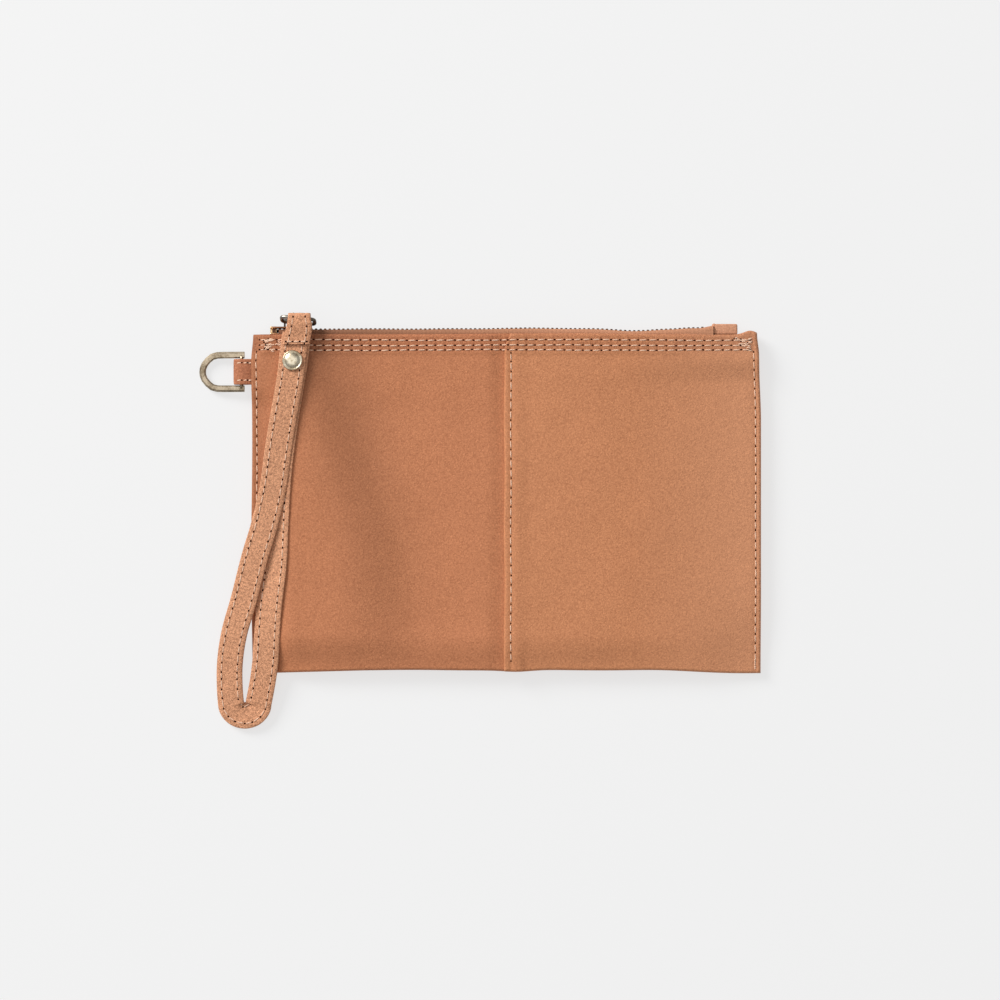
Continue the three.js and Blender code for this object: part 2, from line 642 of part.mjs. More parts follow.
function dRingTab() {
  const half = 0.55;
  const path = [
    [-108, 6.62], [-114.3, 6.62], [-116.6, 6.95], [-118.9, 7.0], [-120.6, 6.6], [-121.7, 5.75], [-122.05, 4.75],
    [-121.7, 3.75], [-120.6, 2.95], [-118.9, 2.6], [-116.6, 3.4], [-114.9, 5.0], [-113.6, 5.38], [-108, 5.38],
  ];
  const rings = path.map(([x, z], i) => {
    const before = path[Math.max(0, i - 1)];
    const after = path[Math.min(path.length - 1, i + 1)];
    const dir = new THREE.Vector2(after[0] - before[0], after[1] - before[1]).normalize();
    const corner = (s, y) => new THREE.Vector3(x - s * dir.y * half, DRING.y + y, z + s * dir.x * half);
    return [corner(1, -TAB_HALF), corner(1, TAB_HALF), corner(-1, TAB_HALF), corner(-1, -TAB_HALF)];
  });
  return loft(rings);
}
add("d_ring_tab", dRingTab(), TAN_DARK);

export default group;
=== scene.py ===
"""Looks of the wristlet wallet: leather, stitching, zip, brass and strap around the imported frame."""
import math
import random

import bmesh
import bpy
import numpy as np
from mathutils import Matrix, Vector


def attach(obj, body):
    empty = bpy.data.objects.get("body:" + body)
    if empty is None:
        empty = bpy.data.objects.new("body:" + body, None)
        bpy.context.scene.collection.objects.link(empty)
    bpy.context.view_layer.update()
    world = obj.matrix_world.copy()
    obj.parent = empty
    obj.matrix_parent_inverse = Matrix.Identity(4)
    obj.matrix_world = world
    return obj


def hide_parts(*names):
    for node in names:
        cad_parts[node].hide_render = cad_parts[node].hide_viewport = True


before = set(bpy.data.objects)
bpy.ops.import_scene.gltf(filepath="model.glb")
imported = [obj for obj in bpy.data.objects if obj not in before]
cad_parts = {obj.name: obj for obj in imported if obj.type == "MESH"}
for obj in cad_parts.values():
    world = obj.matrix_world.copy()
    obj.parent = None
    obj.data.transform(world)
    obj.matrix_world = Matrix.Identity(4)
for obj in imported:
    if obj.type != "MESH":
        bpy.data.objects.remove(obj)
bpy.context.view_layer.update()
rng = random.Random(7)
MM = 0.001
UP = Vector((0, 0, 1))


def lin(r, g, b):
    """An sRGB colour, 0 to 255, as linear RGBA."""
    def one(c):
        c /= 255.0
        return c / 12.92 if c <= 0.04045 else ((c + 0.055) / 1.055) ** 2.4
    return (one(r), one(g), one(b), 1.0)


# ---------------------------------------------------------------- materials
class Nodes:
    """A short way to write a node material."""

    def __init__(self, name):
        self.mat = bpy.data.materials.new(name)
        self.mat.use_nodes = True
        self.tree = self.mat.node_tree
        self.tree.nodes.clear()
        self.out = self.tree.nodes.new("ShaderNodeOutputMaterial")
        self.bsdf = self.tree.nodes.new("ShaderNodeBsdfPrincipled")
        self.tree.links.new(self.bsdf.outputs[0], self.out.inputs[0])
        self.coord = self.tree.nodes.new("ShaderNodeTexCoord").outputs["Object"]

    def link(self, a, b):
        self.tree.links.new(a, b)

    def node(self, kind, **values):
        n = self.tree.nodes.new(kind)
        for key, value in values.items():
            if key in n.inputs:
                n.inputs[key].default_value = value
            else:
                setattr(n, key, value)
        return n

    def noise(self, scale, detail=4.0, rough=0.55, vector=None):
        n = self.node("ShaderNodeTexNoise", Scale=scale, Detail=detail, Roughness=rough)
        self.link(vector or self.coord, n.inputs["Vector"])
        return n.outputs["Fac"]

    def cells(self, scale, vector):
        n = self.node("ShaderNodeTexVoronoi", feature="F1", Scale=scale)
        self.link(vector, n.inputs["Vector"])
        return n.outputs["Distance"]

    def part(self, axis):
        """The object's X, Y or Z as a value."""
        n = self.node("ShaderNodeSeparateXYZ")
        self.link(self.coord, n.inputs[0])
        return n.outputs[axis]

    def stretched(self, sx, sy, sz):
        n = self.node("ShaderNodeMapping")
        n.inputs["Scale"].default_value = (sx, sy, sz)
        self.link(self.coord, n.inputs["Vector"])
        return n.outputs[0]

    def warped(self, scale, amount):
        """Object coordinates pushed about by a soft noise."""
        n = self.node("ShaderNodeTexNoise", Scale=scale, Detail=2.0)
        self.link(self.coord, n.inputs["Vector"])
        mixer = self.node("ShaderNodeMixRGB", blend_type="LINEAR_LIGHT")
        mixer.inputs[0].default_value = amount
        self.link(self.coord, mixer.inputs[1])
        self.link(n.outputs["Color"], mixer.inputs[2])
        return mixer.outputs[0]

    def maths(self, operation, a, b):
        n = self.node("ShaderNodeMath", operation=operation)
        for socket, value in zip(n.inputs, (a, b)):
            if isinstance(value, (int, float)):
                socket.default_value = value
            else:
                self.link(value, socket)
        return n.outputs[0]

    def ramp(self, factor, stops):
        n = self.node("ShaderNodeValToRGB")
        ramp = n.color_ramp
        while len(ramp.elements) < len(stops):
            ramp.elements.new(0.5)
        for element, (place, colour) in zip(ramp.elements, stops):
            element.position = place
            element.color = colour
        self.link(factor, n.inputs[0])
        return n.outputs[0]

    def blend(self, factor, a, b, kind="MIX"):
        n = self.node("ShaderNodeMixRGB", blend_type=kind)
        for socket, value in zip(n.inputs, (factor, a, b)):
            if isinstance(value, (int, float, tuple)):
                socket.default_value = value
            else:
                self.link(value, socket)
        return n.outputs[0]

    def span(self, value, low, high, start=0.0, stop=1.0):
        """Turns start..stop into low..high, held at both ends."""
        ends = {"From Min": start, "From Max": stop, "To Min": low, "To Max": high}
        n = self.node("ShaderNodeMapRange", **ends)
        self.link(value, n.inputs["Value"])
        return n.outputs[0]

    def bump(self, height, distance, strength=1.0, normal=None):
        n = self.node("ShaderNodeBump", Distance=distance, Strength=strength)
        self.link(height, n.inputs["Height"])
        if normal is not None:
            self.link(normal, n.inputs["Normal"])
        return n.outputs[0]

    def finish(self, colour, roughness, normal, metallic=0.0, specular=0.5):
        for name, value in (("Base Color", colour), ("Roughness", roughness), ("Normal", normal)):
            if isinstance(value, (int, float, tuple)):
                self.bsdf.inputs[name].default_value = value
            else:
                self.link(value, self.bsdf.inputs[name])
        self.bsdf.inputs["Metallic"].default_value = metallic
        self.bsdf.inputs["Specular IOR Level"].default_value = specular
        return self.mat


def grey(value):
    """A linear grey."""
    return (value, value, value, 1)


# Tones painted into colours: SHADOW as painted shade, WARM_LIGHT as painted light.
SHADOW = (0.05, 0.015, 0.006, 1)
WARM_LIGHT = (1.0, 0.62, 0.42, 1)
FOLD_BOTTOM = -0.066
FOLD_TOP = 0.060
FOLD_BOTTOM_X = -0.052
FOLD_LEAN = 0.030
HEM_LINE = (0.0668, 0.0682)


def fold_shade(m, colour):
    """Painted shade: darkens the leather along the soft fold that crosses the left panel, more towards its
    top.
    """
    up = m.span(m.part("Y"), 0.0, 1.0, FOLD_BOTTOM, FOLD_TOP)
    bend = m.maths("MULTIPLY", m.maths("POWER", up, 1.6), FOLD_LEAN)
    off = m.maths("ABSOLUTE", m.maths("ADD", m.maths("ADD", m.part("X"), bend), -FOLD_BOTTOM_X), 0.0)
    dark = m.ramp(m.maths("MULTIPLY", off, 30.0),
                  [(0.0, grey(1)), (0.3, grey(0.75)), (0.66, grey(0.2)), (0.95, grey(0))])
    strength = m.maths("MULTIPLY", dark, m.maths("ADD", m.maths("MULTIPLY", up, 0.22), 0.08))
    return m.blend(strength, colour, SHADOW)


def edge_shade(m, colour, limit, reach, strength, tone=SHADOW):
    """Paints shade, or light when the tone is light: blends the colour into a tone as X nears limit over a
    reach, which is negative from the right.
    """
    near = m.span(m.part("X"), 0.0, strength, limit - reach, limit)
    return m.blend(near, colour, tone)


def leather(name, base, contrast=1.0, cell=1050.0, hem=False, fold=False, flecks=0.09):
    """Matte pebbled leather: uneven cells with darker valleys, faint mottling and a few pores.

    hem darkens the leather above the hem's line in uneven patches, painted shade of its puckers. fold is for
    the left panel, with painted shade along its soft fold and on its outer edge.
    Every other leather gets lighter past X 56 mm, on the pouch's right side, as painted light.
    """
    m = Nodes(name)
    middle = 1 - 0.07 * contrast
    pale = tuple(min(1.0, c / middle) for c in base[:3])
    where = m.warped(500.0, 0.0010)
    cells = m.cells(cell, where)
    fine = m.cells(cell * 2.3, where)
    pores = m.noise(2600.0, 2.0)
    mottle = m.noise(26.0, 5.0, 0.62)
    cloud = m.noise(140.0, 4.0, 0.6)
    tone = m.maths("ADD", m.maths("MULTIPLY", mottle, 0.45), m.maths("MULTIPLY", cloud, 0.55))
    colour = m.ramp(tone, [(0.32, tuple(c * 0.95 for c in pale) + (1,)), (0.68, pale + (1,))])
    grain = m.maths("ADD", m.maths("MULTIPLY", cells, 0.40), m.maths("MULTIPLY", fine, 0.55))
    grain = m.maths("ADD", grain, m.maths("MULTIPLY", pores, 0.30))
    deep = 1 - 0.26 * contrast
    tip = 1 + 0.10 * contrast
    valley = (deep, deep * 0.95, deep * 0.93, 1)
    shade = m.ramp(grain, [(0.28, grey(tip)), (0.50, grey(middle)), (0.86, valley)])
    colour = m.blend(1.0, colour, shade, "MULTIPLY")
    fleck = m.noise(1150.0, 4.0, 0.72)
    low = 1 - flecks
    high = 1 + 0.8 * flecks
    spread = m.ramp(fleck, [(0.40, (low, low * 0.96, low * 0.94, 1)), (0.50, grey(1)),
                            (0.61, (high, high * 0.99, high * 0.98, 1))])
    colour = m.blend(1.0, colour, spread, "MULTIPLY")
    if hem:
        # Painted shade of the hem's puckers: uneven darker patches above the hem's line.
        above = m.span(m.part("Y"), 0.0, 1.0, *HEM_LINE)
        pucker = m.ramp(m.noise(1500.0, 3.0, 0.7), [(0.36, (0.64, 0.56, 0.55, 1)), (0.60, grey(1))])
        colour = m.blend(above, colour, m.blend(1.0, colour, pucker, "MULTIPLY"))
    if fold:
        # Painted shade along the left panel's fold and on its outer edge.
        colour = fold_shade(m, colour)
        colour = edge_shade(m, colour, -0.1135, -0.012, 0.30)
    else:
        # Painted light towards the pouch's right side.
        colour = edge_shade(m, colour, 0.106, 0.05, 0.09, WARM_LIGHT)
    height = m.maths("SUBTRACT", m.maths("MULTIPLY", fleck, 8.0 * flecks), grain)
    normal = m.bump(height, 0.00026 * contrast, 0.6)
    normal = m.bump(mottle, 0.0006, 0.2, normal)
    mat = m.finish(colour, m.span(cells, 0.52, 0.70), normal, specular=0.22)
    m.bsdf.inputs["Sheen Weight"].default_value = 0.02
    m.bsdf.inputs["Sheen Roughness"].default_value = 0.5
    return mat


def suede(name, base):
    """The fuzzy flesh side of the leather."""
    m = Nodes(name)
    fuzz = m.noise(1500.0, 6.0, 0.7)
    colour = m.ramp(fuzz, [(0.3, tuple(c * 0.8 for c in base[:3]) + (1,)), (0.7, base)])
    return m.finish(colour, 0.9, m.bump(fuzz, 0.0003, 0.6), specular=0.15)


def woven(name, base, pitch, left_shade=0.0):
    """Plain woven cloth: two crossed sets of fine ribs. The last argument darkens its left end by that much,
    as painted shade.
    """
    m = Nodes(name)

    def rib(axis):
        wave = m.node("ShaderNodeTexWave", bands_direction=axis, Scale=0.314 / pitch, Distortion=0.6)
        wave.inputs["Detail"].default_value = 1.0
        m.link(m.coord, wave.inputs["Vector"])
        return wave.outputs["Fac"]
    weave = m.maths("ADD", rib("X"), rib("Y"))
    fuzz = m.noise(1800.0, 4.0)
    dark = tuple(c * 0.72 for c in base[:3]) + (1.0,)
    colour = m.ramp(m.maths("MULTIPLY", weave, 0.5), [(0.2, dark), (0.75, base)])
    if left_shade:
        # Painted shade over the cloth's left end.
        colour = edge_shade(m, colour, -0.085, -0.11, left_shade)
    height = m.maths("ADD", weave, m.maths("MULTIPLY", fuzz, 0.35))
    return m.finish(colour, m.span(fuzz, 0.78, 0.95), m.bump(height, 0.00015, 0.7), specular=0.2)


def metal(name, base, tarnish, rough=0.3, wear=0.5):
    """Aged metal: tarnish in cloudy patches, fine scratches and uneven gloss."""
    m = Nodes(name)
    patch = m.noise(190.0, 6.0, 0.65)
    scratch = m.noise(1.0, 3.0, 0.6, m.stretched(400.0, 2600.0, 2600.0))
    spots = m.noise(1100.0, 3.0)
    amount = m.maths("ADD", m.maths("MULTIPLY", patch, 0.7), m.maths("MULTIPLY", spots, 0.3))
    colour = m.ramp(amount, [(0.50 - wear * 0.18, base), (0.50 + wear * 0.22, tarnish)])
    gloss = m.span(amount, rough - 0.08, rough + 0.18)
    normal = m.bump(scratch, 0.00002, 0.5)
    normal = m.bump(spots, 0.00004, 0.35, normal)
    return m.finish(colour, gloss, normal, metallic=1.0)


def thread_look(name, base):
    """Twisted sewing thread."""
    m = Nodes(name)
    ply = m.node("ShaderNodeTexWave", bands_direction="DIAGONAL", Scale=700.0, Distortion=0.5)
    m.link(m.coord, ply.inputs["Vector"])
    fuzz = m.noise(3000.0, 3.0)
    dark = tuple(c * 0.62 for c in base[:3]) + (1.0,)
    colour = m.ramp(ply.outputs["Fac"], [(0.1, dark), (0.7, base)])
    height = m.maths("ADD", ply.outputs["Fac"], fuzz)
    return m.finish(colour, 0.72, m.bump(height, 0.0001, 0.6), specular=0.3)


def hole_shade_look(name):
    """Painted shade of a needle hole: the dark of its recess."""
    m = Nodes(name)
    n = m.noise(900.0, 2.0)
    colour = m.ramp(n, [(0.3, lin(30, 12, 8)), (0.7, lin(62, 28, 20))])
    return m.finish(colour, 0.95, m.bump(n, 0.0001, 0.3), specular=0.05)


# The front panels are one leather: the right panel's copy is a little lighter than the left's, painted light.
LEATHER_LEFT = leather("leather left", lin(201, 132, 92), hem=True, fold=True)
LEATHER_RIGHT = leather("leather right", lin(207, 140, 98), hem=True)
LEATHER_BACK = leather("leather back", lin(200, 134, 93), hem=True)
LEATHER_TRIM = leather("leather trim", lin(212, 152, 118), 1.1)
LEATHER_TAB = leather("leather tab", lin(184, 118, 85), 1.1, flecks=0.16)
LEATHER_STRAP = leather("leather strap", lin(224, 163, 124), 1.3, 1500.0, flecks=0.30)
SUEDE = suede("leather flesh side", lin(176, 126, 98))
LINING = woven("lining cloth", lin(170, 150, 128), 0.0007)
# The zip tape's left end is darkened as painted shade.
TAPE = woven("zip tape", lin(206, 146, 112), 0.0006, left_shade=0.62)
BRASS = metal("antique brass", lin(240, 228, 202), lin(190, 172, 142), 0.26, 0.35)
CAST = metal("cast d-ring", lin(192, 176, 152), lin(136, 120, 98), 0.36, 0.4)
BRIGHT = metal("slider brass", lin(244, 206, 160), lin(190, 150, 110), 0.22, 0.3)
NICKEL = metal("ring metal", lin(176, 168, 156), lin(104, 96, 88), 0.3)
# A darker, browner copy of the slider's brass for its plates: painted shade.
PLATE = metal("slider plates", lin(176, 122, 88), lin(110, 74, 54), 0.36)
OLD_BRASS = metal("dark antique brass", lin(120, 108, 96), lin(56, 46, 40), 0.32)
TEETH = metal("zip teeth", lin(104, 74, 58), lin(58, 40, 32), 0.5)
THREAD = thread_look("thread", lin(248, 206, 176))
# Dark marks for the needle holes, painted shade.
HOLE_SHADE = hole_shade_look("needle holes")


# ---------------------------------------------------------------- mesh helpers
def make(name, verts, faces, material, body, slot, smooth=True):
    """A mesh in metres that rides on a body of the frame. slot is not used."""
    mesh = bpy.data.meshes.new(name)
    mesh.from_pydata([tuple(v) for v in verts], [], faces)
    mesh.validate()
    bm = bmesh.new()
    bm.from_mesh(mesh)
    bmesh.ops.recalc_face_normals(bm, faces=bm.faces)
    bm.to_mesh(mesh)
    bm.free()
    if smooth:
        mesh.shade_smooth()
    mesh.materials.append(material)
    obj = bpy.data.objects.new(name, mesh)
    bpy.context.scene.collection.objects.link(obj)
    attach(obj, body)
    return obj


def loft(rings, closed=False):
    """Vertices and quads over a list of closed rings of equal length."""
    n = len(rings[0])
    verts = [p for ring in rings for p in ring]
    faces = []
    spans = len(rings) if closed else len(rings) - 1
    for i in range(spans):
        a = i * n
        b = ((i + 1) % len(rings)) * n
        for j in range(n):
            k = (j + 1) % n
            faces.append((a + j, b + j, b + k, a + k))
    if not closed:
        faces.append(tuple(range(n)))
        last = (len(rings) - 1) * n
        faces.append(tuple(last + j for j in reversed(range(n))))
    return verts, faces


def smooth(t):
    t = np.clip(t, 0.0, 1.0)
    return t * t * (3 - 2 * t)


def mix(a, b, t):
    return a + (b - a) * t


def round_off(e, r):
    """How far an edge rounded by r lies below the flat at a distance e from the rim."""
    e = np.clip(e, 0.0, r)
    return r - np.sqrt(np.maximum(r * r - (r - e) ** 2, 0.0))


# ---------------------------------------------------------------- the pouch's shape, in millimetres
TOP_Y = 75.6
HEM_T = 2.4
LEATHER_T = 1.3
FULL_T = 12.0
MID_Z = 6.0
EDGE_R = 1.3
HEM_R = 1.25
HEM_START = 66.3
HEM_ROWS = (72.8, 70.4, 68.3)
SIDE_SEAM_LEFT = 2.3
SIDE_SEAM_RIGHT = 2.5
LAP_X = -0.9
LAP_UNDER_X = 6.0
LAP_SEAM_X = 2.2
THINNEST = 0.05


def left_edge(y):
    return -114.3 + 1.1 * smooth((y - 62) / 14) + 0.25 * np.sin(y / 17.0)


def right_edge(y):
    return 114.6 - 1.0 * smooth((y - 36) / 32) - 0.9 * smooth((y - 66) / 9)


def bottom_edge(x):
    corner = smooth((np.abs(x) - 60) / 52)
    seam = np.exp(-((x - 5) / 9.0) ** 2)
    return -75.35 - 1.5 * corner - 0.75 * seam + 0.12 * np.sin(x / 9.0)


def top_edge(x):
    ear = np.exp(-((x - 109.5) / 3.6) ** 2)
    return TOP_Y + 0.2 * np.sin((x + 12) / 23.0) + 1.7 * ear - 0.45 * smooth((-96 - x) / 8)


def wobble(x, y, seed):
    """Slow unevenness of soft leather, a few tenths of a millimetre."""
    rs = np.random.RandomState(seed)
    total = np.zeros(np.broadcast(x, y).shape)
    for length, size in ((70, 0.16), (43, 0.12), (26, 0.07), (15, 0.035)):
        a = rs.uniform(0, math.tau)
        p = rs.uniform(0, math.tau, 2)
        u = (x * math.cos(a) + y * math.sin(a)) / length * math.tau
        v = (-x * math.sin(a) + y * math.cos(a)) / length * math.tau
        total = total + size * np.sin(u + p[0]) * np.cos(0.7 * v + p[1])
    return total


def fullness(x, y):
    """0 at the rim and 1 where the pouch has its full thickness."""
    hem = smooth((y - 40) / 26)
    left = smooth((x - left_edge(y)) / mix(20.0, 6.5, hem))
    right = smooth((right_edge(y) - x) / mix(82.0, 60.0, smooth((y - 50) / 22)))
    bottom = smooth((y - bottom_edge(x)) / mix(16.0, 19.0, smooth((np.abs(x) - 80) / 30)))
    return left * right * bottom


def seam_half(x, y):
    """Half the thickness at the pouch's rim: two leathers, the hems above them, and the lap."""
    rise = np.where(x < 0, smooth((y - 42) / 10), smooth((y - 53) / 12))
    lap = smooth((x + 6.5) / 4.5) * smooth((9.0 - x) / 3.0)
    return mix(1.42, 3.4, rise) + 0.5 * lap


def seam_z(x, y):
    """The height of the rim's middle: a little up along the bottom, and down at its two corners."""
    corner = smooth((np.abs(x) - 80) / 34) * smooth((-40 - y) / 36)
    lift = 0.9 * smooth((-30 - y) / 40) * smooth((104 - np.abs(x)) / 50)
    return MID_Z + lift - 2.6 * corner


def edge_inset(x, y):
    return np.minimum(np.minimum(x - left_edge(y), right_edge(y) - x), y - bottom_edge(x))


def sag(x, y):
    """How far the front sinks past a soft step that crosses the left panel from top left to bottom middle."""
    along = np.clip((y + 66) / 126, 0.0, 1.1)
    line = -53.0 - 32.0 * along ** 1.6
    width = mix(34.0, 20.0, along)
    low = smooth((x - line + width / 2) / width)
    back = mix(1.0, 0.35, smooth((x + 50) / 70))
    return 2.7 * low * back * mix(1.0, 0.45, smooth((y - 34) / 36)) * smooth((y + 82) / 30)


def lap_dip(x):
    """How far the left panel sinks where the right one lies over it."""
    return 0.95 * smooth((x + 8.5) / 8.0)


def lap_rise(x):
    """How far the right panel is lifted by the left one under it."""
    return 0.5 * (1 - smooth((x - 4.0) / 7.0))


def stitch_groove(x, y):
    """Threads draw the leather in along the seams."""
    left = np.exp(-((x - left_edge(y) - SIDE_SEAM_LEFT) / 0.9) ** 2)
    right = np.exp(-((right_edge(y) - x - SIDE_SEAM_RIGHT) / 0.9) ** 2)
    side = left + right
    hem = sum(np.exp(-((y - row) / 0.75) ** 2) for row in HEM_ROWS)
    lap = np.exp(-((x - LAP_SEAM_X) / 0.8) ** 2)
    pucker = 0.75 + 0.35 * np.sin(x / 4.2 * math.tau) * np.cos(y * 1.1)
    return 0.16 * hem * pucker + 0.22 * side + 0.24 * lap


def hem_body(y):
    """The folded hem stands a little above the single leather below it."""
    return 0.34 * smooth((y - 65.6) / 1.8)


def front_z(x, y):
    rim = seam_z(x, y) + seam_half(x, y)
    full = fullness(x, y)
    z = mix(rim, FULL_T - 0.3, full) + hem_body(y) * full
    z = z - sag(x, y) * full
    return z + wobble(x, y, 3) * full - stitch_groove(x, y)


def back_z(x, y):
    rim = seam_z(x, y) - seam_half(x, y)
    return mix(rim, 0.0, fullness(x, y))


def grid(name, xs, ys, place, material, slot, inner_material=None):
    """A closed sheet of leather; place(u, v) gives its outer and inner points."""
    nu = len(xs)
    nv = len(ys)
    u, v = np.meshgrid(xs, ys, indexing="ij")
    outer, inner = place(u, v)
    verts = np.concatenate([outer.reshape(-1, 3), inner.reshape(-1, 3)]) * MM
    faces = []
    step = nu * nv
    for i in range(nu - 1):
        for j in range(nv - 1):
            a = i * nv + j
            faces.append((a, a + nv, a + nv + 1, a + 1))
            faces.append((step + a, step + a + 1, step + a + nv + 1, step + a + nv))
    rim = [i * nv for i in range(nu)] + [(nu - 1) * nv + j for j in range(1, nv)]
    rim += [i * nv + nv - 1 for i in range(nu - 2, -1, -1)] + [j for j in range(nv - 2, 0, -1)]
    for a, b in zip(rim, rim[1:] + rim[:1]):
        faces.append((a, b, step + b, step + a))
    obj = make(name, verts, faces, material, "wallet", slot)
    if inner_material:
        obj.data.materials.append(inner_material)
        for k in range(1, 2 * (nu - 1) * (nv - 1), 2):
            obj.data.polygons[k].material_index = 1
    return obj


def spaced(start, stop, coarse, fine, margin):
    """Stations that are fine within margin of both ends and coarse between."""
    a = np.arange(0, margin, fine)
    n = max(2, int(round((stop - start - 2 * margin) / coarse)))
    b = np.linspace(margin, stop - start - margin, n)
    return np.concatenate([start + a, start + b, stop - a[::-1]])


ROWS = np.concatenate([np.arange(0, 4, 0.4), np.arange(4, 130, 1.3), np.arange(130, 151.4, 0.6)])
ROWS = ROWS / ROWS[-1]


def rows_to_y(x, v):
    low = bottom_edge(x)
    return low + v * (top_edge(x) - low)


def stack(x, y, z):
    return np.stack([x, y, z], axis=-1)


def hem_curl(x, y):
    return round_off(top_edge(x) - y, HEM_R)


def panel_depth(y):
    """One leather below the hem and the folded hem above it."""
    return mix(LEATHER_T, HEM_T, smooth((y - HEM_START) / 0.6))


def left_panel(u, v):
    y = rows_to_y(-60.0, v)
    x = left_edge(y) + u * (LAP_UNDER_X - left_edge(y))
    y = rows_to_y(x, v)
    dip = lap_dip(x)
    z = front_z(x, y)
    curl = hem_curl(x, y) * mix(1, 0.5, dip)
    outer = z - dip - round_off(edge_inset(x, y), EDGE_R) - curl
    inner = z - dip - mix(panel_depth(y), LEATHER_T, dip) + curl * 0.9
    return stack(x, y, outer), stack(x, y, np.minimum(inner, outer - THINNEST))


def right_panel(u, v):
    y = rows_to_y(60.0, v)
    fold = LAP_X + 2.6 * smooth((y - 66) / 10) ** 2 + 0.18 * np.sin(y / 8.0)
    x = fold + u * (right_edge(y) - fold)
    y = rows_to_y(x, v)
    z = front_z(x, y) + lap_rise(x)
    edge = round_off(x - fold, 1.0) * 0.8
    past_lap = smooth((x - LAP_UNDER_X) / 2)
    outer = z - edge - round_off(edge_inset(x, y), EDGE_R) - hem_curl(x, y) * mix(0.6, 1, past_lap)
    depth = mix(1.35, panel_depth(y), smooth((x - 6.4) / 1.2))
    inner = z - depth + hem_curl(x, y) * mix(0.4, 0.9, past_lap) + edge * 0.3
    return stack(x, y, outer), stack(x, y, np.minimum(inner, outer - THINNEST))


def back_panel(u, v):
    y = rows_to_y(0.0, v)
    x = left_edge(y) + u * (right_edge(y) - left_edge(y))
    y = rows_to_y(x, v)
    z = back_z(x, y)
    outer = z + round_off(edge_inset(x, y), EDGE_R) + hem_curl(x, y)
    inner = z + panel_depth(y) - hem_curl(x, y) * 0.9
    return stack(x, y, outer), stack(x, y, np.maximum(inner, outer + THINNEST))


U_FRONT = spaced(0, 1, 1.3 / 120, 0.4 / 120, 4.0 / 120)
U_BACK = spaced(0, 1, 1.6 / 229, 0.4 / 229, 4.0 / 229)
left = grid("front_left_panel_look", U_FRONT, ROWS, left_panel, LEATHER_LEFT, "leather_front_left", SUEDE)
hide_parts("front_left_panel")
right = grid("front_right_panel_look", U_FRONT, ROWS, right_panel, LEATHER_RIGHT,
             "leather_front_right", SUEDE)
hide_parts("front_right_panel")
back = grid("back_panel_look", U_BACK, ROWS, back_panel, LEATHER_BACK, "leather_back", SUEDE)
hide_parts("back_panel")


def lining(name, node, slot, side):
    """Thin cloth a little inside one panel."""
    def place(u, v):
        y = mix(-66.0, 72.0, v)
        x = left_edge(y) + 9 + u * (right_edge(y) - left_edge(y) - 18)
        gap = 1.65 + 1.7 * smooth((y - 57) / 5)
        if side > 0:
            z = front_z(x, y) - gap - lap_dip(x) * (1 - smooth((x - LAP_UNDER_X) / 4)) - 0.15
        else:
            z = back_z(x, y) + gap
        return stack(x, y, z), stack(x, y, z - side * 0.35)
    obj = grid(name, np.linspace(0, 1, 90), np.linspace(0, 1, 64), place, LINING, slot)
    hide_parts(node)


lining("front_lining_look", "front_lining", "lining_fabric", 1)
lining("back_lining_look", "back_lining", "lining_fabric", -1)


# ---------------------------------------------------------------- stitches
class Sewing:
    """Collects threads, and needle holes as dark marks of painted shade, for one body."""

    def __init__(self):
        self.threads = ([], [])
        self.holes = ([], [])

    def blob(self, store, centre, along, up, length, width, height, rings=5, sides=8):
        """A small pillow: a thread's visible arc, or the dark dimple of a hole, painted shade."""
        verts, faces = store
        along = along.normalized()
        side = up.cross(along).normalized()
        up = along.cross(side)
        base = len(verts)
        for i in range(1, rings):
            t = i / rings * math.pi
            for j in range(sides):
                a = j / sides * math.tau
                p = centre - along * (math.cos(t) * length / 2)
                r = math.sin(t) ** 0.6
                p = p + side * (math.cos(a) * r * width / 2) + up * (math.sin(a) * r * height / 2)
                verts.append(p * MM)
        verts.append((centre - along * length / 2) * MM)
        verts.append((centre + along * length / 2) * MM)
        first = len(verts) - 2
        for i in range(rings - 2):
            for j in range(sides):
                a = base + i * sides + j
                b = base + i * sides + (j + 1) % sides
                faces.append((a, a + sides, b + sides, b))
        for j in range(sides):
            k = (j + 1) % sides
            faces.append((first, base + j, base + k))
            end = base + (rings - 2) * sides
            faces.append((first + 1, end + k, end + j))

    def stitch(self, p, q, up, width, slant=0.0):
        along = q - p
        length = along.length
        side = up.cross(along).normalized()
        along = along + side * slant
        centre = (p + q) / 2 + up * 0.10
        self.blob(self.threads, centre, along, up, length * 0.72, width, 0.46)

    def hole(self, p, along, up, size):
        # A dark dimple that paints the shade in a needle hole.
        self.blob(self.holes, p + up * 0.03, along, up, size, size * 0.8, 0.26, 4, 7)

    def row(self, path, pitch, width=0.6, slant=0.22, hole=1.0):
        """Stitches along path(t), t from 0 to 1, which gives a point and the surface's normal."""
        samples = 400
        jitter = 0.06
        fine = [path(i / samples) for i in range(samples + 1)]
        along = [0.0]
        for (a, _), (b, _) in zip(fine, fine[1:]):
            along.append(along[-1] + (b - a).length)
        count = max(1, int(round(along[-1] / pitch)))
        marks = []
        j = 0
        for k in range(count + 1):
            goal = along[-1] * k / count + (rng.uniform(-jitter, jitter) * pitch if 0 < k < count else 0)
            while j < samples - 1 and along[j + 1] < goal:
                j += 1
            marks.append(fine[j])
        for (p, n), (q, _) in zip(marks, marks[1:]):
            self.stitch(p, q, n, width, slant)
        for i, (p, n) in enumerate(marks):
            other = marks[i + 1][0] if i + 1 < len(marks) else marks[i - 1][0]
            self.hole(p, other - p, n, hole)

    def build(self, name, body):
        make(name + "_threads", *self.threads, THREAD, body, None)
        # The needle holes' dark marks are painted shade.
        make(name + "_needle_hole_shade", *self.holes, HOLE_SHADE, body, None)


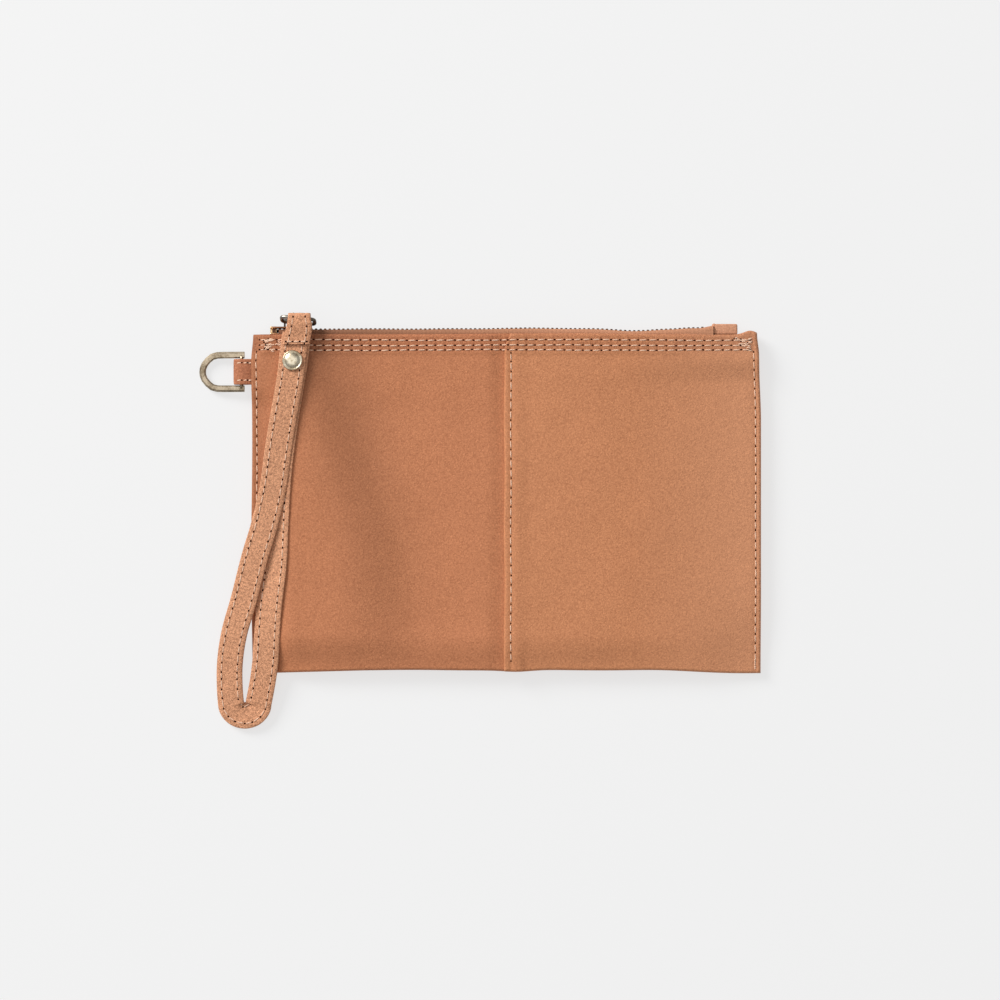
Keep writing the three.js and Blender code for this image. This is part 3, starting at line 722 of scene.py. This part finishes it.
def surface_point(x, y):
    """A point on the visible front and its normal."""
    def height(a, b):
        z = front_z(a, b) - round_off(edge_inset(a, b), EDGE_R)
        return z + lap_rise(a) if a > LAP_X else z - lap_dip(a)
    z = float(height(x, y))
    dx = float(height(x + 0.3, y)) - z
    dy = float(height(x, y + 0.3)) - z
    return Vector((x, y, z)), Vector((-dx, -dy, 0.3)).normalized()


STITCH = 4.2
wallet_sewing = Sewing()


def hem_rows():
    for row, y0 in enumerate(HEM_ROWS):
        def path(t, y0=y0, row=row):
            x = mix(-110.4, 109.8, t)
            y = y0 + 0.16 * math.sin(x / 19.0 + row) + 0.08 * math.sin(x / 5.0 + 2 * row)
            return surface_point(x, y)
        wallet_sewing.row(path, STITCH)


def backtacks():
    """The sewing runs back over itself at both ends of the hem."""
    for side in (-1, 1):
        for k in range(26):
            x = side * (108.6 - 7.5 * rng.random() ** 1.4)
            y = mix(67.9, 73.6, rng.random())
            p, n = surface_point(x, y)
            q, _ = surface_point(x + rng.uniform(1.6, 2.8), y + rng.uniform(-0.9, 0.9))
            wallet_sewing.stitch(p, q, n, 0.6)
            if k % 2:
                wallet_sewing.hole(p, q - p, n, 0.8)


def side_rows():
    for side in (-1, 1):
        def path(t, side=side):
            y = mix(67.5, -72.0, t)
            edge = left_edge(y) + SIDE_SEAM_LEFT if side < 0 else right_edge(y) - SIDE_SEAM_RIGHT
            return surface_point(float(edge) + 0.08 * math.sin(y / 7.0), y)
        wallet_sewing.row(path, STITCH, hole=0.9)


def lap_row():
    def path(t):
        return surface_point(LAP_SEAM_X + 0.12 * math.sin(t * 19), mix(67.0, -71.5, t))
    wallet_sewing.row(path, 4.3, hole=0.85)


def corner_tack():
    """The right side's sewing ends in a few stitches over each other."""
    for k in range(6):
        y = -70.2 - 0.8 * k
        p, n = surface_point(112.0 + 0.35 * (-1) ** k, y)
        q, _ = surface_point(112.0 - 0.35 * (-1) ** k, y - 0.9)
        wallet_sewing.stitch(p, q, n, 0.7)


hem_rows()
backtacks()
side_rows()
lap_row()
corner_tack()
wallet_sewing.build("pouch", "wallet")


# ---------------------------------------------------------------- zip
CHAIN_START = -103.1
PITCH = 2.04
TEETH_COUNT = 94
TAPE_START = -101.9
TAPE_END = 93.0
TAPE_HALF_T = 0.25
# Height and distance from the zip's middle plane along the tape, from the hem up to the teeth.
TAPE_LINE = [(64, 3.25), (70, 3.25), (75.6, 3.25), (76.3, 3.2), (76.85, 2.95), (77.25, 2.6),
             (77.38, 2.35), (77.38, 2.12)]


def chain_wave(x):
    """The chain is not quite straight: it dips a little and rides up towards its right-hand end."""
    rise = 0.5 * smooth((x - 74) / 10) + 1.2 * smooth((x - 86) / 7)
    dip = -0.75 * np.exp(-((x - 57) / 11.0) ** 2) + 0.36 * np.exp(-((x - 12) / 24.0) ** 2)
    return float(rise + dip + 0.07 * np.sin(x / 5.5)) * min(1.0, max(0.0, (x + 95) / 7))


def teeth(side):
    """One row of teeth: each is a wide root that holds the tape and a narrower tip over the middle."""
    verts = []
    faces = []

    def block(x, half, y0, y1, z0, z1, cut):
        base = len(verts)
        my = (y0 + y1) / 2
        mz = (z0 + z1) / 2
        ring = [(y0, z0 + cut), (y0 + cut, z0), (y1 - cut, z0), (y1, z0 + cut),
                (y1, z1 - cut), (y1 - cut, z1), (y0 + cut, z1), (y0, z1 - cut)]
        for dx, shrink in ((-half, 0.8), (-half * 0.6, 1.0), (half * 0.6, 1.0), (half, 0.8)):
            for y, z in ring:
                height = MID_Z + side * (mz + (z - mz) * shrink)
                verts.append(Vector((x + dx, my + (y - my) * shrink, height)) * MM)
        n = len(ring)
        for i in range(3):
            for j in range(n):
                a = base + i * n + j
                b = base + i * n + (j + 1) % n
                faces.append((a, b, b + n, a + n))
        faces.append(tuple(base + j for j in range(n)))
        faces.append(tuple(base + 3 * n + j for j in range(n)))
    root_top = 78.15 if side > 0 else 77.75
    stagger = side * PITCH / 4
    for i in range(TEETH_COUNT):
        x = CHAIN_START + (i + 0.5) * PITCH + stagger
        y = chain_wave(x)
        block(x, 0.55, 76.35 + y, root_top + y, 0.75, 2.1, 0.3)
        block(x, 0.42, 76.7 + y, 77.75 + y, -0.75, 0.9, 0.25)
    name = "zip_teeth_look_front" if side > 0 else "zip_teeth_look_back"
    obj = make(name, verts, faces, TEETH, "wallet", "zip_metal")
    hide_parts("zip_teeth_front" if side > 0 else "zip_teeth_back")


def tape(side):
    rings = []
    for x in np.linspace(TAPE_START, TAPE_END, 150):
        top = []
        low = []
        for i, (y, off) in enumerate(TAPE_LINE):
            before = TAPE_LINE[max(0, i - 1)]
            after = TAPE_LINE[min(len(TAPE_LINE) - 1, i + 1)]
            d = Vector((after[0] - before[0], after[1] - before[1])).normalized() * TAPE_HALF_T
            lift = chain_wave(float(x)) * smooth((y - 74) / 3.0)
            top.append(Vector((x, y - d.y + lift, MID_Z + side * (off + d.x))) * MM)
            low.append(Vector((x, y + d.y + lift, MID_Z + side * (off - d.x))) * MM)
        rings.append(top + low[::-1])
    verts, faces = loft(rings)
    name = "zip_tape_look_front" if side > 0 else "zip_tape_look_back"
    obj = make(name, verts, faces, TAPE, "wallet", "zip_tape", smooth=False)
    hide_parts("zip_tape_front" if side > 0 else "zip_tape_back")


for side in (1, -1):
    teeth(side)
    tape(side)


# ---------------------------------------------------------------- strap
STRAP_T = 1.15
NOSE_Y = 82.4
NOSE_Z = 15.5
NOSE_R = 1.15 + STRAP_T / 2
STRAP_SEAM = 2.3
TURN_X = -117.6
TURN_Y = -90.0
# X, Y and Z of the strip's middle, its roll in degrees and its width: down the outer leg from under
# the fold, round the turn, up the inner leg to the ring, and then the fold back over itself.
STRAP = [
    (-94.2, 75.8, 14.7, 0, 11.4), (-94.7, 71, 14.65, 0, 11.8), (-95.5, 63.6, 14.65, 0, 12),
    (-96.4, 56, 14.4, 0, 12), (-99.2, 40.1, 13.7, 0, 12), (-101.9, 23.5, 13.1, -2, 12),
    (-104.4, 6, 12.7, -1, 12), (-108.5, -11.4, 12.3, 2, 12), (-112.4, -24, 11.6, 5, 12),
    (-117.6, -43.7, 9.4, 8, 12), (-122.2, -59.4, 6.9, 10, 11.9), (-124.3, -74, 4.5, 9, 11.8),
    *[(TURN_X + 6.35 * math.cos(math.radians(a)), TURN_Y + 5.95 * math.sin(math.radians(a)), z, roll, 11.9)
      for a, z, roll in ((176, 2.9, 8), (205, 2.6, 5), (236, 2.4, 0), (270, 2.4, -5), (304, 2.5, -9),
                         (335, 2.8, -11), (362, 3.6, -10))],
    (-109.3, -80, 5.3, -9, 11.8), (-107.9, -70, 7.2, -10, 12), (-107.2, -60, 8.8, -14, 12),
    (-106.1, -46, 9.9, -16, 12), (-103.9, -28, 10.6, -15, 12), (-103.0, -8, 10.8, -13, 12),
    (-101.7, 14, 11.1, -11, 12), (-98.9, 36, 11.8, -8, 12), (-95.8, 56, 13.0, -1, 12),
    (-94.6, 63.6, 13.3, 0, 12), (-93.6, 71, 13.3, 0, 11.8), (-92.6, 76.5, 13.1, 0, 11.0),
    (-92.3, 80.0, 13.35, 0, 10.2),
]
FOLD = [(-92.2, 80.0, 17.25, 0, 11.0), (-92.5, 76.5, 16.6, 0, 11.9), (-93.3, 73.4, 16.05, 0, 12),
        (-93.8, 70.6, 15.95, 0, 12)]


def catmull(points, per):
    """A centripetal Catmull-Rom curve through rows of numbers, sampled per times each span."""
    pts = [np.array(p, float) for p in points]
    pts = [2 * pts[0] - pts[1]] + pts + [2 * pts[-1] - pts[-2]]
    out = []
    for i in range(1, len(pts) - 2):
        p0, p1, p2, p3 = pts[i - 1:i + 3]
        t = [0.0]
        for a, b in ((p0, p1), (p1, p2), (p2, p3)):
            t.append(t[-1] + max(1e-6, np.linalg.norm((b - a)[:3])) ** 0.5)
        last = i == len(pts) - 3
        for k in range(per + (1 if last else 0)):
            s = t[1] + (t[2] - t[1]) * k / per
            a1 = (t[1] - s) / (t[1] - t[0]) * p0 + (s - t[0]) / (t[1] - t[0]) * p1
            a2 = (t[2] - s) / (t[2] - t[1]) * p1 + (s - t[1]) / (t[2] - t[1]) * p2
            a3 = (t[3] - s) / (t[3] - t[2]) * p2 + (s - t[2]) / (t[3] - t[2]) * p3
            b1 = (t[2] - s) / (t[2] - t[0]) * a1 + (s - t[0]) / (t[2] - t[0]) * a2
            b2 = (t[3] - s) / (t[3] - t[1]) * a2 + (s - t[1]) / (t[3] - t[1]) * a3
            out.append((t[2] - s) / (t[2] - t[1]) * b1 + (s - t[1]) / (t[2] - t[1]) * b2)
    return out


def strap_frames():
    """Middle, direction, width direction, normal and width at each station of the strap."""
    steps = 9
    lower = catmull(STRAP, steps)
    nose = []
    for i in range(1, 2 * steps):
        a = -math.pi / 2 + i / (2 * steps) * math.pi
        nose.append(np.array([-92.3, NOSE_Y + NOSE_R * math.cos(a), NOSE_Z + NOSE_R * math.sin(a), 0, 10.0]))
    upper = catmull(FOLD, steps)
    line = lower + nose + upper
    level_from = len(lower) - 6
    fold_from = len(lower) + len(nose)
    frames = []
    for i, row in enumerate(line):
        before = line[max(0, i - 1)]
        after = line[min(len(line) - 1, i + 1)]
        tangent = Vector(after[:3] - before[:3]).normalized()
        level = Vector((-1, 0, 0)) if i >= level_from else Vector((tangent.y, -tangent.x, 0)).normalized()
        roll = math.radians(row[3])
        across = -level * math.cos(roll) + UP * math.sin(roll)
        if i <= fold_from:
            across = (across - tangent * across.dot(tangent)).normalized()
        normal = tangent.cross(across)
        frames.append((Vector(row[:3]), tangent, across, normal, float(row[4])))
    return frames


FRAMES = strap_frames()


def strap():
    """The strip itself, a little crowned, with a groove where the sewing draws it in."""
    half = STRAP_T / 2
    rings = []
    for p, _, across, normal, w in FRAMES:
        section = []
        for k in range(9):
            s = -1 + k / 4
            groove = 0.10 * math.exp(-((abs(s) * w / 2 - w / 2 + STRAP_SEAM) / 0.5) ** 2)
            section.append((s * (w / 2 - 0.28), half * (1 - 0.10 * abs(s) ** 4) - groove))
        section.append((w / 2, 0.25))
        section.append((w / 2, -0.25))
        for k in range(9):
            s = 1 - k / 4
            section.append((s * (w / 2 - 0.28), -half * (1 - 0.10 * abs(s) ** 4)))
        section.append((-w / 2, -0.25))
        section.append((-w / 2, 0.25))
        rings.append([(p + across * a + normal * b) * MM for a, b in section])
    verts, faces = loft(rings)
    obj = make("wrist_strap_look", verts, faces, LEATHER_STRAP, "strap", "strap_leather")
    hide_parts("wrist_strap")


strap_sewing = Sewing()


def strap_rows():
    """Two rows on each face of the strip, from its first point out to the end of the fold."""
    first = 9
    last = len(FRAMES) - 1
    for side in (-1, 1):
        for face in (1, -1):
            def path(t, side=side, face=face):
                s = first + t * (last - first)
                i = min(last - 1, int(s))
                f = s - i
                a = FRAMES[i]
                b = FRAMES[i + 1]
                p = a[0].lerp(b[0], f)
                across = a[2].lerp(b[2], f)
                normal = a[3].lerp(b[3], f)
                reach = mix(a[4], b[4], f) / 2 - STRAP_SEAM
                return p + across * (side * reach) + normal * (face * STRAP_T / 2 * 0.88), normal * face
            strap_sewing.row(path, 4.1, 0.56, slant=0.26, hole=1.05)


def cross_row():
    """Three stitches across the fold's end."""
    pitch = 3.1
    p, _, across, normal, _ = FRAMES[-5]
    up = -normal if normal.z < 0 else normal
    for k in range(4):
        q = p + across * (k * pitch - 4.7) + up * 0.58
        strap_sewing.hole(q, across, up, 1.0)
        if k < 3:
            strap_sewing.stitch(q, q + across * pitch, up, 0.75)


strap()
strap_rows()
cross_row()
strap_sewing.build("strap", "strap")


# ---------------------------------------------------------------- turned and bent metal
def tube(name, points, normal, r, sides, closed, material, body, slot):
    """A round wire of radius r; normal is a direction across all of it."""
    n = len(points)
    rings = []
    for i, p in enumerate(points):
        before = points[(i - 1) % n] if closed else points[max(0, i - 1)]
        after = points[(i + 1) % n] if closed else points[min(n - 1, i + 1)]
        tangent = (after - before).normalized()
        side = tangent.cross(normal).normalized()
        ring = []
        for j in range(sides):
            a = j / sides * math.tau
            ring.append((p + normal * (r * math.cos(a)) + side * (r * math.sin(a))) * MM)
        rings.append(ring)
    verts, faces = loft(rings, closed)
    return make(name, verts, faces, material, body, slot)


RING_LEAN = math.radians(18.1)
RING_HALF_LENGTH = 7.35
RING_HALF_WIDTH = 3.3
RING_WIRE_R = 0.85
RING_ROUNDNESS = 2 / 4.5
RING_UP = Vector((0, math.sin(RING_LEAN), math.cos(RING_LEAN)))
RING_NORMAL = Vector((0, math.cos(RING_LEAN), -math.sin(RING_LEAN)))


def ring_points(count=140):
    """Evenly spaced points on a superellipse that stands nearly upright."""
    fine = []
    samples = 6000
    for i in range(samples):
        a = i / samples * math.tau
        c = math.cos(a)
        s = math.sin(a)
        u = RING_HALF_LENGTH * math.copysign(abs(c) ** RING_ROUNDNESS, c)
        v = RING_HALF_WIDTH * math.copysign(abs(s) ** RING_ROUNDNESS, s)
        fine.append(Vector((-93.0 + u, 81.45 - 0.09 * u, 12.37)) + RING_UP * v)
    along = [0.0]
    for a, b in zip(fine, fine[1:] + fine[:1]):
        along.append(along[-1] + (b - a).length)
    out = []
    j = 0
    for k in range(count):
        goal = along[-1] * k / count
        while along[j + 1] < goal:
            j += 1
        out.append(fine[j])
    return out


ring = tube("pull_ring_look", ring_points(), RING_NORMAL, RING_WIRE_R, 20, True, NICKEL,
            "strap", "antique_brass")
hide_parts("pull_ring")


def turned(name, profile, x, y, segments, material, body, slot):
    """A solid turned about an upright axis at x and y; the profile lists radius and height."""
    verts = []
    faces = []
    for r, z in profile:
        for j in range(segments):
            a = j / segments * math.tau
            verts.append(Vector((x + r * math.cos(a), y + r * math.sin(a), z)) * MM)
    n = segments
    for i in range(len(profile) - 1):
        for j in range(n):
            k = (j + 1) % n
            faces.append((i * n + j, i * n + k, (i + 1) * n + k, (i + 1) * n + j))
    faces.append(tuple(range(n)))
    faces.append(tuple((len(profile) - 1) * n + j for j in range(n)))
    return make(name, verts, faces, material, body, slot)


# A low dome inside a raised rim.
RIVET_PROFILE = [
    (3.9, 15.3), (4.35, 15.38), (4.5, 15.6), (4.55, 15.95), (4.45, 16.25), (4.25, 16.42), (4.0, 16.46),
    (3.8, 16.40), (3.62, 16.28), (3.45, 16.34), (3.1, 16.62), (2.5, 16.88), (1.8, 17.04), (1.0, 17.14),
    (0.3, 17.17)]
cap = turned("rivet_cap_look", RIVET_PROFILE, -95.4, 63.5, 64, BRASS, "strap", "antique_brass")
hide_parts("rivet_cap")


# ---------------------------------------------------------------- small leather tabs and the slider
def ribbon(name, line, y0, y1, half, material, slot, node):
    """A narrow strip of leather with rounded edges, bent along a line of X and Z."""
    pts = catmull([(a, 0.0, b) for a, b in line], 5)
    rings = []
    for i, p in enumerate(pts):
        before = pts[max(0, i - 1)]
        after = pts[min(len(pts) - 1, i + 1)]
        d = Vector((after[0] - before[0], 0, after[2] - before[2])).normalized()
        n = Vector((-d.z, 0, d.x))
        ring = []
        for k in range(20):
            a = k / 20 * math.tau
            c = math.copysign(abs(math.cos(a)) ** 0.28, math.cos(a))
            e = math.copysign(abs(math.sin(a)) ** 0.55, math.sin(a))
            ring.append((Vector((p[0], (y0 + y1) / 2 + c * (y1 - y0) / 2, p[2])) + n * (half * e)) * MM)
        rings.append(ring)
    verts, faces = loft(rings)
    obj = make(name, verts, faces, material, "wallet", slot)
    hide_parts(node)


# X and Z of the strip that folds round the D-ring's bar.
D_TAB = [(-108, 6.62), (-111.5, 6.62), (-114.3, 6.62), (-116.6, 6.95), (-118.9, 7.0), (-120.6, 6.6),
         (-121.7, 5.75), (-122.05, 4.75), (-121.7, 3.75), (-120.6, 2.95), (-118.9, 2.6), (-116.6, 3.4),
         (-114.9, 5.0), (-113.6, 5.38), (-108, 5.38)]
ribbon("d_ring_tab_look", D_TAB, 52.95, 64.45, 0.52, LEATHER_TAB, "leather_trim", "d_ring_tab")


def tab_rows():
    """Three stitches along each edge of the D-ring's tab."""
    pitch = 2.6
    start_x = -121.2
    sewing = Sewing()
    for row_y in (62.6, 54.8):
        for k, (start_z, end_z) in enumerate(((6.85, 7.45), (7.15, 7.45), (7.45, 7.25))):
            a = Vector((start_x + k * pitch, row_y, start_z))
            b = Vector((start_x + (k + 1) * pitch, row_y + 0.15, end_z))
            sewing.stitch(a, b, UP, 0.7, 0.2)
            sewing.hole(b, Vector((1, 0, 0)), UP, 0.95)
    sewing.build("d_ring_tab", "wallet")


tab_rows()


def rounded_box(x0, x1, y0, y1, z0, z1, r, n=5):
    """Vertices and faces of a box whose edges are rounded by r, as a loft along X."""
    rings = []
    hy = (y1 - y0) / 2
    hz = (z1 - z0) / 2
    stations = []
    for t in np.linspace(0.08, math.pi / 2, n):
        stations.append((x0 + r * (1 - math.cos(t)), r * (1 - math.sin(t))))
    for t in np.linspace(math.pi / 2, 0.08, n):
        stations.append((x1 - r * (1 - math.cos(t)), r * (1 - math.sin(t))))
    for x, inset in stations:
        ring = []
        for k, (sy, sz) in enumerate(((1, 1), (-1, 1), (-1, -1), (1, -1))):
            for t in np.linspace(0, math.pi / 2, n):
                a = k * math.pi / 2 + t
                y = sy * (hy - r) + (r - inset) * math.cos(a)
                z = sz * (hz - r) + (r - inset) * math.sin(a)
                ring.append(Vector((x, (y0 + y1) / 2 + y, (z0 + z1) / 2 + z)) * MM)
        rings.append(ring)
    return loft(rings)


def joined(parts):
    """Vertices and faces of several parts as one list of each."""
    verts = []
    faces = []
    for v, f in parts:
        base = len(verts)
        verts += v
        faces += [tuple(base + i for i in face) for face in f]
    return verts, faces


D_MIDDLE_Y = 58.75
D_BAR_Z = 4.8
D_SLOPE = 0.16
# Points round the cast section: outwards and up from its middle.
D_SECTION = ((1.5, -0.5), (1.5, 0.3), (1.0, 0.8), (-0.5, 0.8), (-1.45, 0.1), (-1.45, -0.5), (-0.9, -0.95),
             (1.0, -0.95))


def d_ring_path():
    """The D's centre line: two arms and the bow between them, which slopes down away from the tab."""
    x0 = -117.7
    arm = 7.6
    half = [(x0, arm), (-122.8, arm), (-127.0, arm), (-130.0, arm - 0.08), (-132.3, 6.9), (-134.3, 5.3),
            (-135.9, 3.3), (-136.6, 1.5), (-136.75, 0.0)]
    line = [Vector((x, D_MIDDLE_Y + y, D_BAR_Z - D_SLOPE * (x0 - x))) for x, y in half]
    line += [Vector((x, D_MIDDLE_Y - y, D_BAR_Z - D_SLOPE * (x0 - x))) for x, y in half[-2::-1]]
    fine = []
    for a, b in zip(line, line[1:]):
        fine += [a.lerp(b, k / 3) for k in range(3)]
    return fine + [line[-1]]


def d_ring_look():
    pts = d_ring_path()
    rings = []
    lean = Vector((-D_SLOPE, 0, 1)).normalized()
    for i, p in enumerate(pts):
        d = (pts[min(len(pts) - 1, i + 1)] - pts[max(0, i - 1)]).normalized()
        out = d.cross(lean).normalized()
        rings.append([(p - out * u + lean * w) * MM for u, w in D_SECTION])
    verts, faces = loft(rings)
    bar = [Vector((-118.9, y, D_BAR_Z)) for y in (51.2, 53.0, 58.7, 64.4, 66.3)]
    tube("d_ring_bar_look", bar, Vector((1, 0, 0)), 0.8, 16, False, CAST, "d_ring", "antique_brass")
    obj = make("d_ring_look", verts, faces, CAST, "d_ring", "antique_brass", smooth=False)
    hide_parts("d_ring")


d_ring_look()

def zip_box(x0, x1, y0, y1, half, r):
    """A rounded box centred on the zip's middle plane."""
    return rounded_box(x0, x1, y0, y1, MID_Z - half, MID_Z + half, r)


nose_parts = joined([
    zip_box(-105.9, -102.6, 77.9, 79.0, 2.6, 0.5),
    zip_box(-105.9, -102.6, 75.35, 76.3, 2.6, 0.45),
    zip_box(-105.9, -103.0, 76.0, 78.2, 0.5, 0.2)])
make("slider_nose_look", *nose_parts, BRIGHT, "slider", "slider_metal")
# The plates take the darker copy of the slider's brass, painted shade.
slider_parts = joined([
    zip_box(-104.6, -95.5, 78.1, 78.9, 3.1, 0.35),
    zip_box(-104.6, -95.5, 75.3, 76.1, 2.7, 0.35)])
slider = make("slider_look", *slider_parts, PLATE, "slider", "slider_metal")
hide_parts("slider_body")
end_tab_parts = joined([
    zip_box(93.4, 103.9, 75.4, 80.15, 2.1, 0.75),
    zip_box(92.5, 94.3, 75.6, 80.35, 2.2, 0.85)])
end_tab = make("zip_end_tab_look", *end_tab_parts, LEATHER_TRIM, "wallet", "leather_trim")
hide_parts("zip_end_tab")


# ---------------------------------------------------------------- looks of the CAD nodes that stay
def paint(name, material):
    """Gives a CAD node that isn't replaced its material."""
    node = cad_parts[name]
    node.data.materials.clear()
    node.data.materials.append(material)


for names, material in (
        (("card_pocket",), LINING),
        (("top_stop_front", "top_stop_back", "bottom_stop"), TEETH),
        (("slider_crown", "pull_link"), OLD_BRASS),
        (("rivet_post",), BRASS)):
    for name in names:
        paint(name, material)


# ---------------------------------------------------------------- stage, light and camera
def floor():
    """A white sheet that glows a little, so that the background stays nearly even."""
    mesh = bpy.data.meshes.new("floor")
    reach = 3
    corners = [(-reach, -reach, 0), (reach, -reach, 0), (reach, reach, 0), (-reach, reach, 0)]
    mesh.from_pydata(corners, [], [(0, 1, 2, 3)])
    obj = bpy.data.objects.new("floor", mesh)
    bpy.context.scene.collection.objects.link(obj)
    m = Nodes("floor")
    m.finish(grey(0.2), 0.9, m.bump(m.noise(900.0), 0.00002, 0.1), specular=0.05)
    glow = m.tree.nodes.new("ShaderNodeEmission")
    glow.inputs["Color"].default_value = (1, 1, 1, 1)
    glow.inputs["Strength"].default_value = 0.68
    both = m.tree.nodes.new("ShaderNodeAddShader")
    m.link(m.bsdf.outputs[0], both.inputs[0])
    m.link(glow.outputs[0], both.inputs[1])
    m.link(both.outputs[0], m.out.inputs[0])
    mesh.materials.append(m.mat)


def area(name, place, size, energy):
    """A square light turned towards the origin."""
    data = bpy.data.lights.new(name, "AREA")
    data.shape = "SQUARE"
    data.size = size
    data.energy = energy
    obj = bpy.data.objects.new(name, data)
    obj.location = place
    obj.rotation_euler = (-Vector(place)).to_track_quat("-Z", "Y").to_euler()
    bpy.context.scene.collection.objects.link(obj)


floor()
area("key", (-2.6, 2.3, 2.2), 1.8, 176.0)
area("top", (-0.3, 0.1, 2.2), 2.0, 10.0)
world = bpy.data.worlds.new("studio")
world.use_nodes = True
background = world.node_tree.nodes["Background"]
background.inputs["Color"].default_value = (1, 1, 1, 1)
background.inputs["Strength"].default_value = 0.32
bpy.context.scene.world = world
bpy.context.scene.view_settings.view_transform = "Standard"
bpy.context.scene.view_settings.look = "None"

camera_data = bpy.data.cameras.new("camera")
camera_data.sensor_width = 36.0
camera_data.lens = 120.4
camera_data.clip_end = 20.0
camera = bpy.data.objects.new("camera", camera_data)
camera.location = (-2.7 * MM, 1.1 * MM, 1.509)
bpy.context.scene.collection.objects.link(camera)
bpy.context.scene.camera = camera
